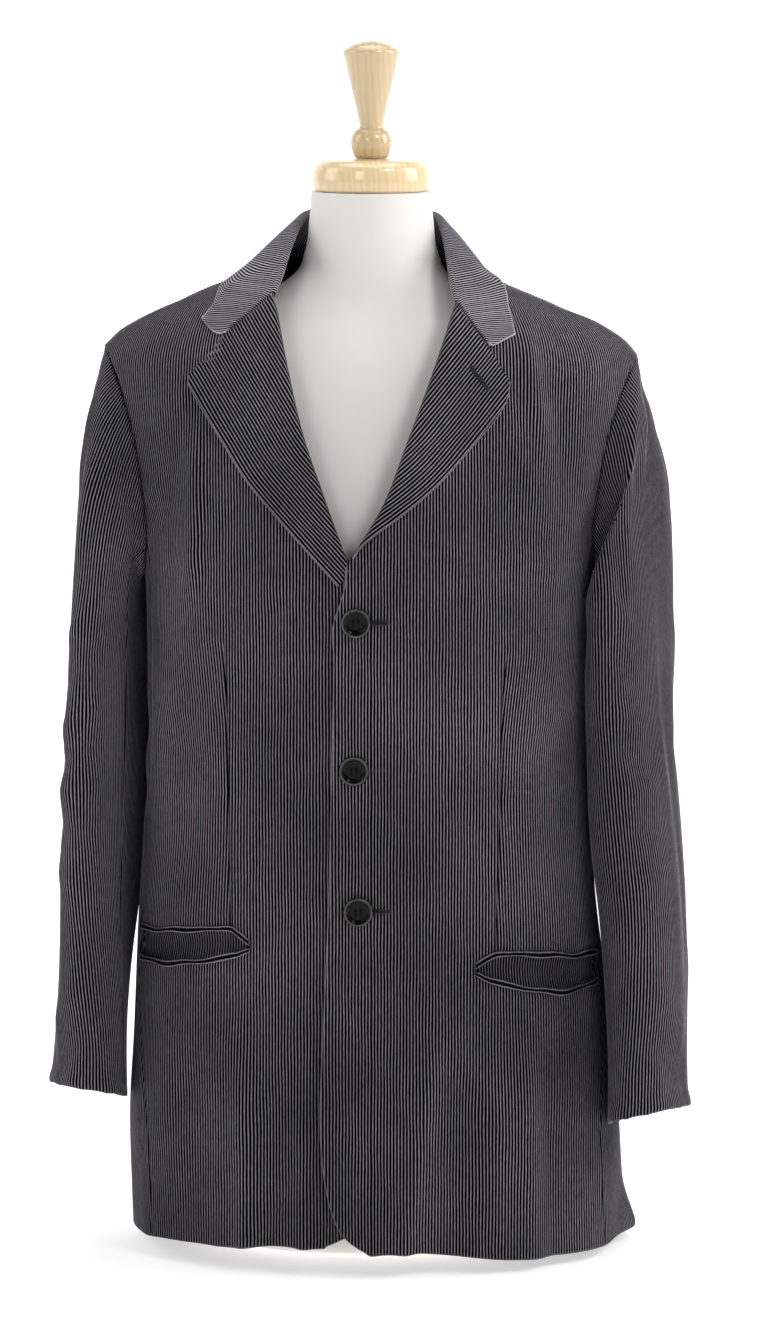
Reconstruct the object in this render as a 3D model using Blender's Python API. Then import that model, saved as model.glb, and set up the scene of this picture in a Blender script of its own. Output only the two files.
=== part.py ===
"""Corduroy blazer with three buttons on a limbless dress form.  Lengths in mm, meshes in metres.
+Z up, the front faces -Y, +X is the wearer's left; the origin is the middle of the form's flat foot."""
import math

import bpy
import numpy as np

# ------------------------------------------------------------------ sizes, mm
WALL = 2.0            # cloth wall
SEAM = 0.4            # left between two sewn pieces
SECT_N = 2.4          # roundness of a level section
CROWN_F = 2.6         # roundness of the front over the shoulder
CROWN_B = 3.5         # roundness of the back over the shoulder
Z_CHEST = 640.0       # the shoulder crown starts here
TOP_RUN = 240.0       # length of cloth from Z_CHEST to the shoulder seam
W_TIP = 236.0         # half width the crown opens to
LAP_RISE = 3.0        # the left front lies this far above the right one

# level sections of the coat: height, half width left (+X), right (-X), depth front, back
SECTIONS = (
    (0, 219, 205, 137, 143), (60, 217, 207, 137, 142), (134, 213, 209, 136, 138),
    (200, 206, 206, 134, 133), (267, 199, 203, 132, 127), (316, 193, 200, 132, 121),
    (390, 188, 195, 133, 112), (455, 186, 192, 134, 109), (560, 187, 191, 137, 115),
    (640, 192, 194, 137, 124))
# shoulder ridge: distance from the centre, height left, height right
RIDGE = ((0, 875, 875), (75, 860, 866), (120, 840, 847), (160, 824, 830),
         (200, 806, 813), (216, 795, 803), (236, 770, 782))
# armhole: (below 0: mm under Z_CHEST, from 0: share of the crown), angle front, angle back
ARMHOLE = ((-44, 90, 90), (-39, 82.5, 99), (-26, 78, 105.5), (-8, 75.5, 109), (0.1, 73, 111),
           (0.3, 69.2, 112.5), (0.5, 68.2, 112.6), (0.7, 69.2, 111.5), (0.85, 71, 109.2), (1.0, 73, 107))
# seams at the side: height, angle of the front one, angle of the back one
SIDE_SEAMS = ((0, 66, 116), (60, 64, 115), (114, 64, 115), (200, 72, 114), (270, 78, 114), (455, 78, 114),
              (600, 77, 111), (640, 75.8, 108.6))
# hem: angle from the front centre, height left, height right
HEM = ((0, 31, 36), (4, 33, 36), (14, 28, 36), (20, 26, 36), (30, 23, 33.5), (45, 21.5, 32), (60, 21.3, 31), (75, 22, 26.5),
       (90, 22, 23.5), (120, 20, 20), (150, 18, 18), (180, 17, 17))
# front edges up to the neck point, x and z
EDGE_LEFT = ((2, 30), (-7, 35), (-14, 39), (-23, 47), (-33, 67), (-38.5, 90), (-42, 120), (-43, 150), (-40, 230),
             (-36, 325), (-33, 445), (-31, 540), (-31, 572), (-26, 586), (-22.5, 598), (-19, 622), (-11.7, 632),
             (7.4, 664), (30.7, 723), (55, 788), (69.7, 831), (76, 862))
EDGE_RIGHT = ((-42, 36), (-23, 44.5), (-6, 57), (6, 74), (14, 100), (19, 150), (21, 230), (23, 325), (24, 445),
              (24, 560), (16, 596), (-6, 616), (-21.7, 627), (-31, 653), (-40.8, 681), (-55.1, 723), (-69.5, 783), (-80.2, 838),
              (-79, 868))
BREAK_Z = 628.0       # the lapels start to turn back
# lapels: outer edge from the break up to the corner, x and z, then the gorge end
LAPEL_EDGE_L = ((-16.5, 625), (-2.5, 639), (25, 660), (54.9, 685), (84, 717), (108, 746), (113.5, 757), (114.4, 768))
LAPEL_EDGE_R = ((-27.5, 601), (-59.1, 637), (-80, 661), (-100.4, 685), (-126, 725), (-148, 760), (-151, 766), (-150.6, 771.5))
LAPEL_START = 0.07    # share of the roll line left to the front edge at the break
LAPEL_FOOT = {1: 0.135, -1: 0.05}   # share of the outer edge that meets it
GORGE_L = (98.7, 796.5)
GORGE_R = (-127.5, 803.0)
# large folds laid in the fronts: x and z of both ends, half width, rise
FOLDS_FRONT = (
    (54, 210, 27, 30, 15, 7.5), (84, 190, 64, 25, 19, -6.0), (118, 200, 112, 20, 24, 4.0), (160, 160, 166, 20, 18, -3.5),
    (-60, 150, -58, 30, 15, 4.5), (-86, 170, -82, 30, 16, -3.5), (-112, 230, -112, 30, 17, 4.5), (-150, 200, -152, 30, 20, -4.0),
    (126, 818, 150, 690, 14, 4.0), (150, 790, 170, 660, 12, -3.5), (172, 740, 172, 600, 13, 3.0),
    (-140, 735, -150, 560, 15, 3.5), (-172, 720, -168, 590, 13, -3.0), (-176, 560, -186, 380, 16, 3.0),
    (70, 520, 62, 330, 26, 2.0), (-75, 520, -70, 330, 26, 2.0), (150, 520, 160, 330, 20, -2.5), (-150, 520, -158, 340, 18, -2.5))
# sleeves: outer edge x, z; inner edge x, z; middle y; half depth; turn (its front leans to the coat)
SLEEVE_LEFT = (
    (226.8, 766, 196.5, 594, 2, 64, 0), (236.6, 738, 197, 588, 1, 70, 0.08), (242, 703, 196.5, 580, 0, 75, 0.25),
    (246, 660, 195, 568, -1, 78, 0.33), (249.4, 610, 195.2, 550, -2, 79, 0.32), (251, 546, 191.8, 515, -4, 78, 0.3),
    (254, 470, 190.4, 455, -9, 76, 0.27), (261.5, 390, 191.5, 380, -18, 73, 0.23), (268.6, 310, 198.5, 302, -31, 69, 0.16),
    (269.6, 240, 203, 231, -44, 65, 0.15), (269, 185, 205.5, 176, -55, 61, 0.18), (270.5, 143, 205, 128, -63, 58, 0.2))
SLEEVE_RIGHT = (
    (227, 779, 198.5, 596, 2, 64, 0), (235.6, 756, 199, 590, 2, 70, -0.05), (240.7, 722, 199, 582, 2, 75, -0.1),
    (243.4, 680, 198.5, 570, 2, 78, -0.15), (244.1, 620, 197.5, 552, 2, 79, -0.22), (245.9, 550, 197.5, 520, 1, 78, -0.28),
    (249.8, 470, 198.5, 458, -2, 76, -0.3), (254.6, 398, 201.5, 388, -7, 73, -0.28), (261.4, 320, 206.5, 312, -14, 69, -0.2),
    (267.8, 250, 210, 243, -22, 65, -0.06), (272.2, 200, 211.5, 192, -29, 61, 0.05), (276, 158, 211, 146, -35, 58, 0.1))
CUFF_DIP = 22.0       # the back of the cuff hangs lower than the front
SEAM_FRONT = 0.8      # sleeve seams, share of a half turn from the outer edge
SEAM_BACK = 0.52
# collar, from the gorge round to the centre back: fold x, y, z; fall edge x, y, z; stand foot x, y, z
COLLAR_LEFT = (
    (66.5, -58, 853, 114.5, -57, 829, 70.6, -61, 843.5), (63.5, -35, 872, 110, -15, 843, 72.3, -43, 852.5),
    (60.5, 2, 891, 103, 10, 849, 75, 4, 861), (54, 42, 902, 84, 55, 857, 68, 45, 865), (31, 69, 905, 48, 88, 860, 38, 71, 869),
    (0, 77, 906, 0, 101, 858, 0, 77.5, 870))
COLLAR_RIGHT = (
    (74.5, -55, 857, 135, -58, 834, 78.8, -60, 849), (68.8, -33, 875, 126, -20, 847, 78.2, -42, 858),
    (62, 2, 894, 108, 10, 855, 78, 4, 867), (55, 42, 903, 87, 55, 861, 70, 45, 869), (31, 69, 905.5, 49, 88, 863, 39, 71, 871),
    (0, 77, 906, 0, 101, 858, 0, 77.5, 870))
TIP_L = (119.3, 804.7)
TIP_R = (-141.5, 816.8)
NOSE = 4.0            # radius of the roll of a lapel
FOLD_R = 3.2          # radius of the collar fold
LIE = 2.8             # outside of a lapel above the cloth under it
# pocket mouths, x and z along the upper and the lower lip
MOUTH_LEFT = ((88, 275, 272), (97, 280.5, 267.5), (106, 284.5, 264.5), (120, 284, 260), (140, 281, 254), (160, 278, 251), (176, 275, 250), (192, 272.5, 253))
MOUTH_RIGHT = ((-103, 294.5, 291.5), (-112, 301.5, 288), (-120, 306, 286), (-140, 303.5, 280), (-156, 301, 276.5), (-176, 298, 273.5), (-188, 295.5, 272), (-197, 293.5, 272))
LIP = 5.0             # height of a pocket lip
BUTTONS = ((-12.7, 570.6), (-14.4, 445.9), (-10.9, 325.7))
BUTTON_R = 12.7
FLOOR = 12.0          # height here of the form's flat foot
# dress form: height, half width, front, back
FORM = ((12, 116, -58, 60), (19, 131, -73, 75), (40, 150, -92, 94), (90, 166, -105, 108), (160, 171, -109, 113), (260, 164, -107, 106), (360, 148, -100, 90), (450, 140, -98, 84),
        (530, 150, -107, 88), (600, 166, -116, 96), (660, 173, -115, 102), (715, 178, -106, 104), (760, 180, -92, 100), (785, 174, -80, 95),
        (805, 155, -67, 88), (820, 125, -57, 82), (836, 90, -50, 75), (852, 66, -47, 69), (872, 56.5, -45, 65), (895, 53.2, -43.5, 63), (922, 51, -42, 62))
FORM_Y = 10.0         # middle of the neck
# turned wood: radius, height
CAP = ((46, 922.3), (48.8, 923.6), (50, 927), (50, 938), (48.6, 943.5), (44, 947.6), (30, 949.6), (12, 950))
FINIAL = ((12.5, 950.3), (16, 953.5), (17.7, 960.5), (16.6, 968.5), (12.3, 975), (10.6, 978), (11.6, 988), (15.2, 1006),
          (19.6, 1024), (23.4, 1038), (24.2, 1041.5), (22, 1045.5), (13.5, 1049), (4, 1050.2))


# ------------------------------------------------------------------ the coat's form
def smooth(t, xs, ys):
    """Cubic through (xs, ys) with the slopes of its neighbours."""
    xs, ys = np.asarray(xs, float), np.asarray(ys, float)
    t = np.clip(np.asarray(t, float), xs[0], xs[-1])
    h = np.diff(xs)
    d = np.diff(ys) / h
    m = np.empty_like(ys)
    m[0], m[-1] = d[0], d[-1]
    m[1:-1] = (d[:-1] * h[1:] + d[1:] * h[:-1]) / (h[1:] + h[:-1])
    k = np.clip(np.searchsorted(xs, t) - 1, 0, len(xs) - 2)
    u = (t - xs[k]) / h[k]
    return ((1 + 2 * u) * (1 - u) ** 2 * ys[k] + u * (1 - u) ** 2 * h[k] * m[k]
            + u * u * (3 - 2 * u) * ys[k + 1] + u * u * (u - 1) * h[k] * m[k + 1])


def col(table, k):
    return [row[k] for row in table]


def ease(t):
    t = np.clip(t, 0.0, 1.0)
    return t * t * (3 - 2 * t)


def by_side(x, table, v):
    """Column 1 of a table on the left, column 2 on the right."""
    return np.where(x >= 0, smooth(v, col(table, 0), col(table, 1)), smooth(v, col(table, 0), col(table, 2)))


def crown_table():
    h = np.sin(np.linspace(0, np.pi / 2, 400)) ** 0.8
    d = (1 - np.clip(h, 0, 1) ** 3.0) ** (1 / 3.0)
    run = np.concatenate([[0], np.cumsum(np.hypot(np.diff(h) * 175, np.diff(d) * 130))])
    return run / run[-1], h


RUN_Q, RUN_H = crown_table()


def crown_of(v):
    return np.interp(np.clip((np.asarray(v, float) - Z_CHEST) / TOP_RUN, 0, 1), RUN_Q, RUN_H)


def v_of_crown(h):
    return Z_CHEST + TOP_RUN * np.interp(h, RUN_H, RUN_Q)


def body(phi, v):
    """A point of the coat's outside: angle from the front centre, run up from the floor."""
    phi, v = np.broadcast_arrays(np.asarray(phi, float), np.asarray(v, float))
    sn, cs = np.sin(phi), np.cos(phi)
    hz = crown_of(v)
    z0 = np.minimum(v, Z_CHEST)
    w = by_side(sn, SECTIONS, z0)
    w = w + (W_TIP - w) * hz ** 1.1
    x = w * np.sign(sn) * np.abs(sn) ** (2 / SECT_N)
    zr = by_side(x, RIDGE, np.abs(x))
    z = np.where(v <= Z_CHEST, v, Z_CHEST + hz * (zr - Z_CHEST))
    df = -smooth(z0, col(SECTIONS, 0), col(SECTIONS, 3)) * (1 - hz ** CROWN_F) ** (1 / CROWN_F)
    db = smooth(z0, col(SECTIONS, 0), col(SECTIONS, 4)) * (1 - hz ** CROWN_B) ** (1 / CROWN_B)
    y = np.where(cs >= 0, df, db) * np.abs(cs) ** (2 / SECT_N)
    y = y + (12 - 0.05 * np.clip(np.abs(x) - 75, 0, 200)) * hz ** 2
    return np.stack([x, y, z], -1)


def normal(phi, v):
    a = body(phi + 0.004, v) - body(phi - 0.004, v)
    b = body(phi, np.minimum(v + 0.6, Z_CHEST + TOP_RUN)) - body(phi, v - 0.6)
    n = np.cross(a, b)
    return n / np.linalg.norm(n, axis=-1, keepdims=True)


def find(x, z, back=False):
    """Angle and run of the point of the front (or back) seen at x, z."""
    x, z = np.asarray(x, float), np.asarray(z, float)
    zr = by_side(x, RIDGE, np.abs(x))
    hz = np.clip((z - Z_CHEST) / (zr - Z_CHEST), 0, 1)
    v = np.where(z <= Z_CHEST, z, v_of_crown(hz))
    w = by_side(x, SECTIONS, np.minimum(z, Z_CHEST))
    w = w + (W_TIP - w) * hz ** 1.1
    phi = np.arcsin(np.clip(np.abs(x) / w, 0, 1) ** (SECT_N / 2))
    if back:
        phi = np.pi - phi
    return np.sign(x) * phi, v


def folds(x, z, table):
    out = np.zeros(np.broadcast(x, z).shape)
    for x0, z0, x1, z1, half, rise in table:
        dx, dz = x1 - x0, z1 - z0
        ll = math.hypot(dx, dz)
        t = ((x - x0) * dx + (z - z0) * dz) / ll ** 2
        off = ((x - x0) * dz - (z - z0) * dx) / ll
        end_free = 1.0 if z1 < 40 else ease((1.08 - t) / 0.35)
        out = out + rise * np.exp(-(off / half) ** 2) * ease((t + 0.08) / 0.4) * end_free
    return out


def lap_rise(x, z):
    """The left front stands off the right one where they overlap."""
    return LAP_RISE * ease((78 - x) / 45)


def front_at(phi, v, side, table=None):
    """Outside of a front, with its large folds; side is +1 left, -1 right."""
    p, n = body(phi, v), normal(phi, v)
    x, z = p[..., 0], p[..., 2]
    d = folds(x, z, FOLDS_FRONT if table is None else table) * ease((outer_angle(v, 1) - np.abs(phi)) / 0.16)
    if side > 0:
        d = d + lap_rise(x, z)
    return p + n * d[..., None], n


def front_on(x, z, side, lift=0.0, table=None):
    """What lies on a front: its points at x, z, moved out."""
    phi, v = find(x, z)
    p, n = front_at(phi, v, side, table)
    return p + n * np.asarray(lift)[..., None], n


def armhole(side, n):
    """Loop on the coat from the shoulder down the front, and from the shoulder down the back."""
    key = [r[0] for r in ARMHOLE]
    v = [Z_CHEST + k if k < 0.05 else float(v_of_crown(k)) for k in key]
    vv = np.array(v[::-1])
    loops = []
    for k in (1, 2):
        ang = np.array(col(ARMHOLE, k)[::-1], float)
        t = np.linspace(0, 1, 200)
        par = np.linspace(0, 1, len(vv))
        phi, run = np.radians(smooth(t, par, ang)), smooth(t, par, vv)
        pts = body(side * phi, run)
        arc = np.concatenate([[0], np.cumsum(np.linalg.norm(np.diff(pts, axis=0), axis=1))])
        tt = np.interp(np.linspace(0, 1, n) * arc[-1], arc, t)
        loops.append((side * np.radians(smooth(tt, par, ang)), smooth(tt, par, vv)))
    return loops


def armhole_angle(v, k):
    key = [Z_CHEST + r[0] if r[0] < 0.05 else float(v_of_crown(r[0])) for r in ARMHOLE]
    return np.radians(np.interp(v, key, col(ARMHOLE, k)))


ARM_LOW = Z_CHEST + ARMHOLE[0][0]


def meet_v(k):
    """Run at which a side seam reaches the armhole."""
    v = np.linspace(ARM_LOW, Z_CHEST + 30, 800)
    seam = np.radians(smooth(v, col(SIDE_SEAMS, 0), col(SIDE_SEAMS, k)))
    d = (armhole_angle(v, k) - seam) * (1 if k == 1 else -1)
    return float(v[np.argmax(d < 0)])


MEET_F, MEET_B = meet_v(1), meet_v(2)


def outer_angle(v, k):
    """Outer edge of a front (k 1) or back (k 2): side seam, then armhole."""
    meet = MEET_F if k == 1 else MEET_B
    seam = np.radians(smooth(np.minimum(v, meet), col(SIDE_SEAMS, 0), col(SIDE_SEAMS, k)))
    return np.where(v <= meet, seam, armhole_angle(v, k))


def armhole_floor(ang):
    """Top of a side panel at an angle."""
    lowf = [(math.degrees(armhole_angle(v, 1)), v) for v in np.linspace(MEET_F, ARM_LOW, 40)]
    lowb = [(math.degrees(armhole_angle(v, 2)), v) for v in np.linspace(ARM_LOW, MEET_B, 40)]
    pts = sorted(lowf + lowb)
    return np.interp(np.degrees(ang), [p[0] for p in pts], [p[1] for p in pts])


def hem_v(phi, side=None):
    a = np.degrees(np.abs(phi))
    return by_side(np.sin(phi) if side is None else np.full(np.shape(phi), float(side)), HEM, a)


def front_edge(v, side):
    """Angle of a front's free edge at a run."""
    tab = EDGE_LEFT if side > 0 else EDGE_RIGHT
    ph, vv = find(np.array(col(tab, 0)), np.array(col(tab, 1)))
    vv[-1] = Z_CHEST + TOP_RUN
    ang = smooth(v, vv, ph)
    return ang


def ring(row, side, n, sh=2.35):
    """One level of a sleeve, n points from the outer edge round by the front."""
    xo, zo, xi, zi, ym, hd, skew = row
    t = np.linspace(0, 2 * np.pi, 720)
    c = np.sign(np.cos(t)) * np.abs(np.cos(t)) ** (2 / sh)
    s = np.sign(np.sin(t)) * np.abs(np.sin(t)) ** (2 / sh)
    dip = -CUFF_DIP * ease((260 - zo) / 115)
    pts = np.stack([side * ((xo + xi) / 2 + c * (xo - xi) / 2 - skew * s * hd), ym - s * hd,
                    (zo + zi) / 2 + c * (zo - zi) / 2 - s * dip * 0.5], -1)
    arc = np.concatenate([[0], np.cumsum(np.linalg.norm(np.diff(pts, axis=0), axis=1))])
    half = arc[359]
    g = np.concatenate([np.linspace(0, half, n), np.linspace(half, arc[-1], n)[1:]])
    return np.stack([np.interp(g, arc, pts[:, k]) for k in range(3)], -1)


def sleeve_rows(side, n, proud):
    """Rings of a sleeve; the first is the armhole, stood off the coat."""
    (pf, vf), (pb, vb) = armhole(side, n)
    first = np.concatenate([body(pf, vf) + normal(pf, vf) * proud,
                            (body(pb, vb) + normal(pb, vb) * proud)[::-1][1:]])
    table = SLEEVE_LEFT if side > 0 else SLEEVE_RIGHT
    return np.stack([first] + [ring(r, side, n) for r in table])


def along(rows, m, sharp=0.0):
    """Spline the rings lengthwise into m levels, even along the outer edge."""
    k = len(rows)
    step = np.linalg.norm(np.diff(rows, axis=0), axis=2).mean(axis=1)
    t = np.concatenate([[0], np.cumsum(step)])
    tt = np.linspace(0, t[-1], m) if np.isscalar(m) else np.asarray(m) * t[-1]
    flat = rows.reshape(k, -1)
    h = np.diff(t)
    d = np.diff(flat, axis=0) / h[:, None]
    mm = np.empty_like(flat)
    mm[0], mm[-1] = d[0], d[-1]
    mm[1:-1] = (d[:-1] * h[1:, None] + d[1:] * h[:-1, None]) / (h[1:] + h[:-1])[:, None]
    i = np.clip(np.searchsorted(t, tt) - 1, 0, k - 2)
    u = ((tt - t[i]) / h[i])[:, None]
    hh = h[i][:, None]
    out = ((1 + 2 * u) * (1 - u) ** 2 * flat[i] + u * (1 - u) ** 2 * hh * mm[i]
           + u * u * (3 - 2 * u) * flat[i + 1] + u * u * (u - 1) * hh * mm[i + 1])
    return out.reshape(len(tt), rows.shape[1], 3), t[-1]


def grid_normals(p):
    a = np.gradient(p, axis=1)
    b = np.gradient(p, axis=0)
    n = np.cross(a, b)
    return n / np.maximum(np.linalg.norm(n, axis=-1, keepdims=True), 1e-9)


def lapel_frame(side):
    """Roll line and outer edge of a lapel in the front view, with its top row."""
    edge = np.array(EDGE_LEFT if side > 0 else EDGE_RIGHT, float)
    k0 = 16 if side > 0 else 12
    roll = edge[k0:-1]
    outer = np.array(LAPEL_EDGE_L if side > 0 else LAPEL_EDGE_R, float)
    gorge = np.array(GORGE_L if side > 0 else GORGE_R, float)
    return roll, outer, gorge


def run_along(pts, t):
    """Points at shares t of a smooth line's length."""
    pts = np.asarray(pts, float)
    a = np.concatenate([[0], np.cumsum(np.linalg.norm(np.diff(pts, axis=0), axis=1))])
    return np.stack([smooth(np.asarray(t) * a[-1], a, pts[:, k]) for k in range(2)], -1)


def lapel_flat(side, q, p):
    """Place in the front view: q from the break to the gorge, p from the roll to the outer edge."""
    roll, outer, gorge = lapel_frame(side)
    a, b = run_along(roll, q), run_along(outer, LAPEL_FOOT[side] + (1 - LAPEL_FOOT[side]) * (q - LAPEL_START) / (1 - LAPEL_START))
    top_a, top_b = roll[-1], outer[-1]
    la, lb = np.linalg.norm(gorge - top_a), np.linalg.norm(top_b - gorge)
    pg = la / (la + lb)
    pp = np.asarray(p)[..., None]
    top = np.where(pp < pg, top_a + (gorge - top_a) * pp / pg, gorge + (top_b - gorge) * (pp - pg) / (1 - pg))
    bend = top - (top_a + (top_b - top_a) * pp)
    return a + (b - a) * pp + bend * np.asarray(q)[..., None] ** 4


def roll_lift(d, full):
    """Height of a lapel over the cloth under it, d from the roll."""
    return LIE + (2 * NOSE - WALL - LIE) * full * np.exp(-(d / 17.0) ** 2)


def collar_end(side, p):
    """Front end of the collar in the front view: along the gorge, then out to the tip."""
    roll, outer, gorge = lapel_frame(side)
    tip = np.array(TIP_L if side > 0 else TIP_R)
    la, lb = np.linalg.norm(gorge - roll[-1]), np.linalg.norm(tip - gorge)
    pg = la / (la + lb)
    pp = np.asarray(p)[..., None]
    return np.where(pp < pg, roll[-1] + (gorge - roll[-1]) * pp / pg, gorge + (tip - gorge) * (pp - pg) / (1 - pg))


# ------------------------------------------------------------------ solids
for ob in list(bpy.data.objects):
    bpy.data.objects.remove(ob)

COLOURS = {"cord": (0.05, 0.048, 0.055), "cord_dark": (0.03, 0.029, 0.033), "ivory": (0.88, 0.84, 0.80),
           "wood": (0.74, 0.50, 0.26), "horn": (0.008, 0.008, 0.009)}


def node(name, verts, faces, colour):
    me = bpy.data.meshes.new(name)
    me.from_pydata([(float(x) / 1000.0, float(y) / 1000.0, (float(z) - FLOOR) / 1000.0) for x, y, z in verts], [], [tuple(int(i) for i in f) for f in faces])
    me.update()
    mat = bpy.data.materials.new(name + "_mat")
    mat.use_nodes = True
    mat.node_tree.nodes["Principled BSDF"].inputs["Base Color"].default_value = COLOURS[colour] + (1.0,)
    mat.node_tree.nodes["Principled BSDF"].inputs["Roughness"].default_value = 0.3 if colour in ("horn", "wood") else 0.85
    me.materials.append(mat)
    ob = bpy.data.objects.new(name, me)
    bpy.context.scene.collection.objects.link(ob)
    return ob


def cloth(name, p, n, wall=WALL, colour="cord"):
    """A wall of cloth: the outside grid p, its normals n, the inside one wall further in."""
    r, c = p.shape[:2]
    q = p - n * wall
    k, j = (r - 1) // 2, c // 2
    mid = np.cross(p[k, j + 1] - p[k, j], p[k + 1, j] - p[k, j])
    flip = float(np.dot(mid, n[k, j])) < 0
    idx = np.arange(r * c).reshape(r, c)
    m = r * c
    tris = []
    for i in range(r - 1):
        for j in range(c - 1):
            a, b, d, e = idx[i, j], idx[i, j + 1], idx[i + 1, j + 1], idx[i + 1, j]
            tris += [(a, b, d), (a, d, e), (a + m, d + m, b + m), (a + m, e + m, d + m)]
    loop = [idx[0, j] for j in range(c)] + [idx[i, c - 1] for i in range(1, r)] \
        + [idx[r - 1, j] for j in range(c - 2, -1, -1)] + [idx[i, 0] for i in range(r - 2, 0, -1)]
    for k in range(len(loop)):
        a, b = loop[k], loop[(k + 1) % len(loop)]
        tris += [(a, a + m, b + m), (a, b + m, b)]
    if flip:
        tris = [(a, d, b) for a, b, d in tris]
    return node(name, np.concatenate([p.reshape(-1, 3), q.reshape(-1, 3)]), tris, colour)


def turned(name, profile, colour, centre=(0, 0, 0), axis=(0, 0, 1), seg=36, round_off=None):
    """A solid of revolution from (radius, height) rows."""
    ax = np.array(axis, float)
    ax /= np.linalg.norm(ax)
    u = np.cross(ax, (1, 0, 0) if abs(ax[0]) < 0.9 else (0, 1, 0))
    u /= np.linalg.norm(u)
    w = np.cross(ax, u)
    t = np.arange(seg) * 2 * np.pi / seg
    c = np.array(centre, float)
    verts = [c + ax * profile[0][1]]
    for rad, h in profile:
        verts += list(c + ax * h + rad * (np.cos(t)[:, None] * u + np.sin(t)[:, None] * w))
    verts.append(c + ax * profile[-1][1])
    faces = [(0, 1 + (k + 1) % seg, 1 + k) for k in range(seg)]
    for i in range(len(profile) - 1):
        a, b = 1 + i * seg, 1 + (i + 1) * seg
        for k in range(seg):
            l = (k + 1) % seg
            faces += [(a + k, a + l, b + l), (a + k, b + l, b + k)]
    last, end = 1 + (len(profile) - 1) * seg, len(verts) - 1
    faces += [(end, last + k, last + (k + 1) % seg) for k in range(seg)]
    return node(name, verts, faces, colour)


def arc_cols(phi0, phi1, v, shares, cut0, cut1):
    """Angles along a level, even in length, cut back at both ends."""
    ph = np.linspace(phi0, phi1, 90)
    pts = body(ph, v)
    arc = np.concatenate([[0], np.cumsum(np.linalg.norm(np.diff(pts, axis=0), axis=1))])
    return np.interp(cut0 + shares * (arc[-1] - cut0 - cut1), arc, ph)


# ------------------------------------------------------------------ fronts
FRONT_COLS = np.array([0, 0.06, 0.14, 0.23, 0.32, 0.41, 0.5, 0.59, 0.68, 0.77, 0.85, 0.93, 1.0])
LOW_ROWS = [75, 110, 150, 200, 250, 300, 355, 415, 475, 535, 572]
ROWS_UP = LOW_ROWS + [598, 622, 640, 670, 705, 740, 775, 810, 840, 864, Z_CHEST + TOP_RUN - 0.4]


def front(name, side):
    tab = EDGE_LEFT if side > 0 else EDGE_RIGHT
    low = [z for k, (_, z) in enumerate(tab) if z < 62 and k != 1]
    rows = low + [v for v in ROWS_UP if v > low[-1] + 4]
    pp, nn = [], []
    for v in rows:
        low_v = 626 if side > 0 else 612
        recess = float(6.6 * ease((v - low_v) / 16) + 3.0 * ease((v - low_v) / 14) * ease((665 - v) / 20))
        hang = max(0.0, 1 - (v - low[0]) / 120)
        end_v = v + (float(hem_v(side * outer_angle(v, 1))) - low[0]) * hang
        ph = arc_cols(float(front_edge(v, side)), side * float(outer_angle(end_v, 1)), v, FRONT_COLS, recess, SEAM / 2)
        vv = v + (hem_v(ph, side) - low[0]) * hang * ease(FRONT_COLS / 0.12)
        p, n = front_at(ph, vv, side)
        pp.append(p)
        nn.append(n)
    return cloth(name, np.array(pp), np.array(nn))


front("front_left", 1)
front("front_right", -1)


# ------------------------------------------------------------------ side panels and backs
def side_panel(name, side):
    cols = np.linspace(0, 1, 7)
    pp, nn = [], []
    for base, k in [(0, 0)] + [(v, 0) for v in LOW_ROWS] + [(572, 0.35), (572, 0.7), (572, 1.0)]:
        ph, vv = [], []
        for c in cols:
            v = float(base)
            for _ in range(30):
                a = smooth(v, col(SIDE_SEAMS, 0), col(SIDE_SEAMS, 1))
                b = smooth(v, col(SIDE_SEAMS, 0), col(SIDE_SEAMS, 2))
                gap = math.degrees(SEAM / 2 / 130)
                ang = math.radians(a + gap + (b - a - 2 * gap) * c)
                v = float(hem_v(side * ang)) if base == 0 else base + (float(armhole_floor(ang)) - 0.3 - base) * k
            ph.append(side * ang)
            vv.append(v)
        p, n = body(np.array(ph), np.array(vv)), normal(np.array(ph), np.array(vv))
        pp.append(p)
        nn.append(n)
    return cloth(name, np.array(pp), np.array(nn))


BACK_ROWS = [0] + LOW_ROWS + [605, 640, 685, 730, 775, 815, 850, Z_CHEST + TOP_RUN - 0.4]
NECK_HALF = {1: 76.0, -1: 79.0}


def back_top(share, side):
    """Run of the back's upper edge: neckline near the centre, then the shoulder seam."""
    top = Z_CHEST + TOP_RUN - 0.4
    drop = top - float(find(np.array(0.001), np.array(868.5), back=True)[1])
    return top - drop * (1 - np.clip(share * 227 / NECK_HALF[side], 0, 1) ** 2)


def back(name, side):
    cols = np.linspace(0, 1, 11)
    pp, nn = [], []
    for v in BACK_ROWS:
        at = v if v else 20.0
        ph = arc_cols(side * math.pi, side * float(outer_angle(at, 2)), at, cols, SEAM / 2, SEAM / 2)
        share = max(0.0, (v - Z_CHEST) / TOP_RUN) ** 2
        vv = hem_v(ph) if not v else at - (Z_CHEST + TOP_RUN - 0.4 - back_top(cols, side)) * share
        p, n = body(ph, vv), normal(ph, vv)
        pp.append(p)
        nn.append(n)
    return cloth(name, np.array(pp), np.array(nn))


for word, side in (("left", 1), ("right", -1)):
    side_panel("side_" + word, side)
    back("back_" + word, side)


# ------------------------------------------------------------------ sleeves
SLEEVE_LEVELS = np.array([0, 0.03, 0.075, 0.13, 0.2, 0.29, 0.39, 0.5, 0.61, 0.72, 0.82, 0.91, 1.0])


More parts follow.
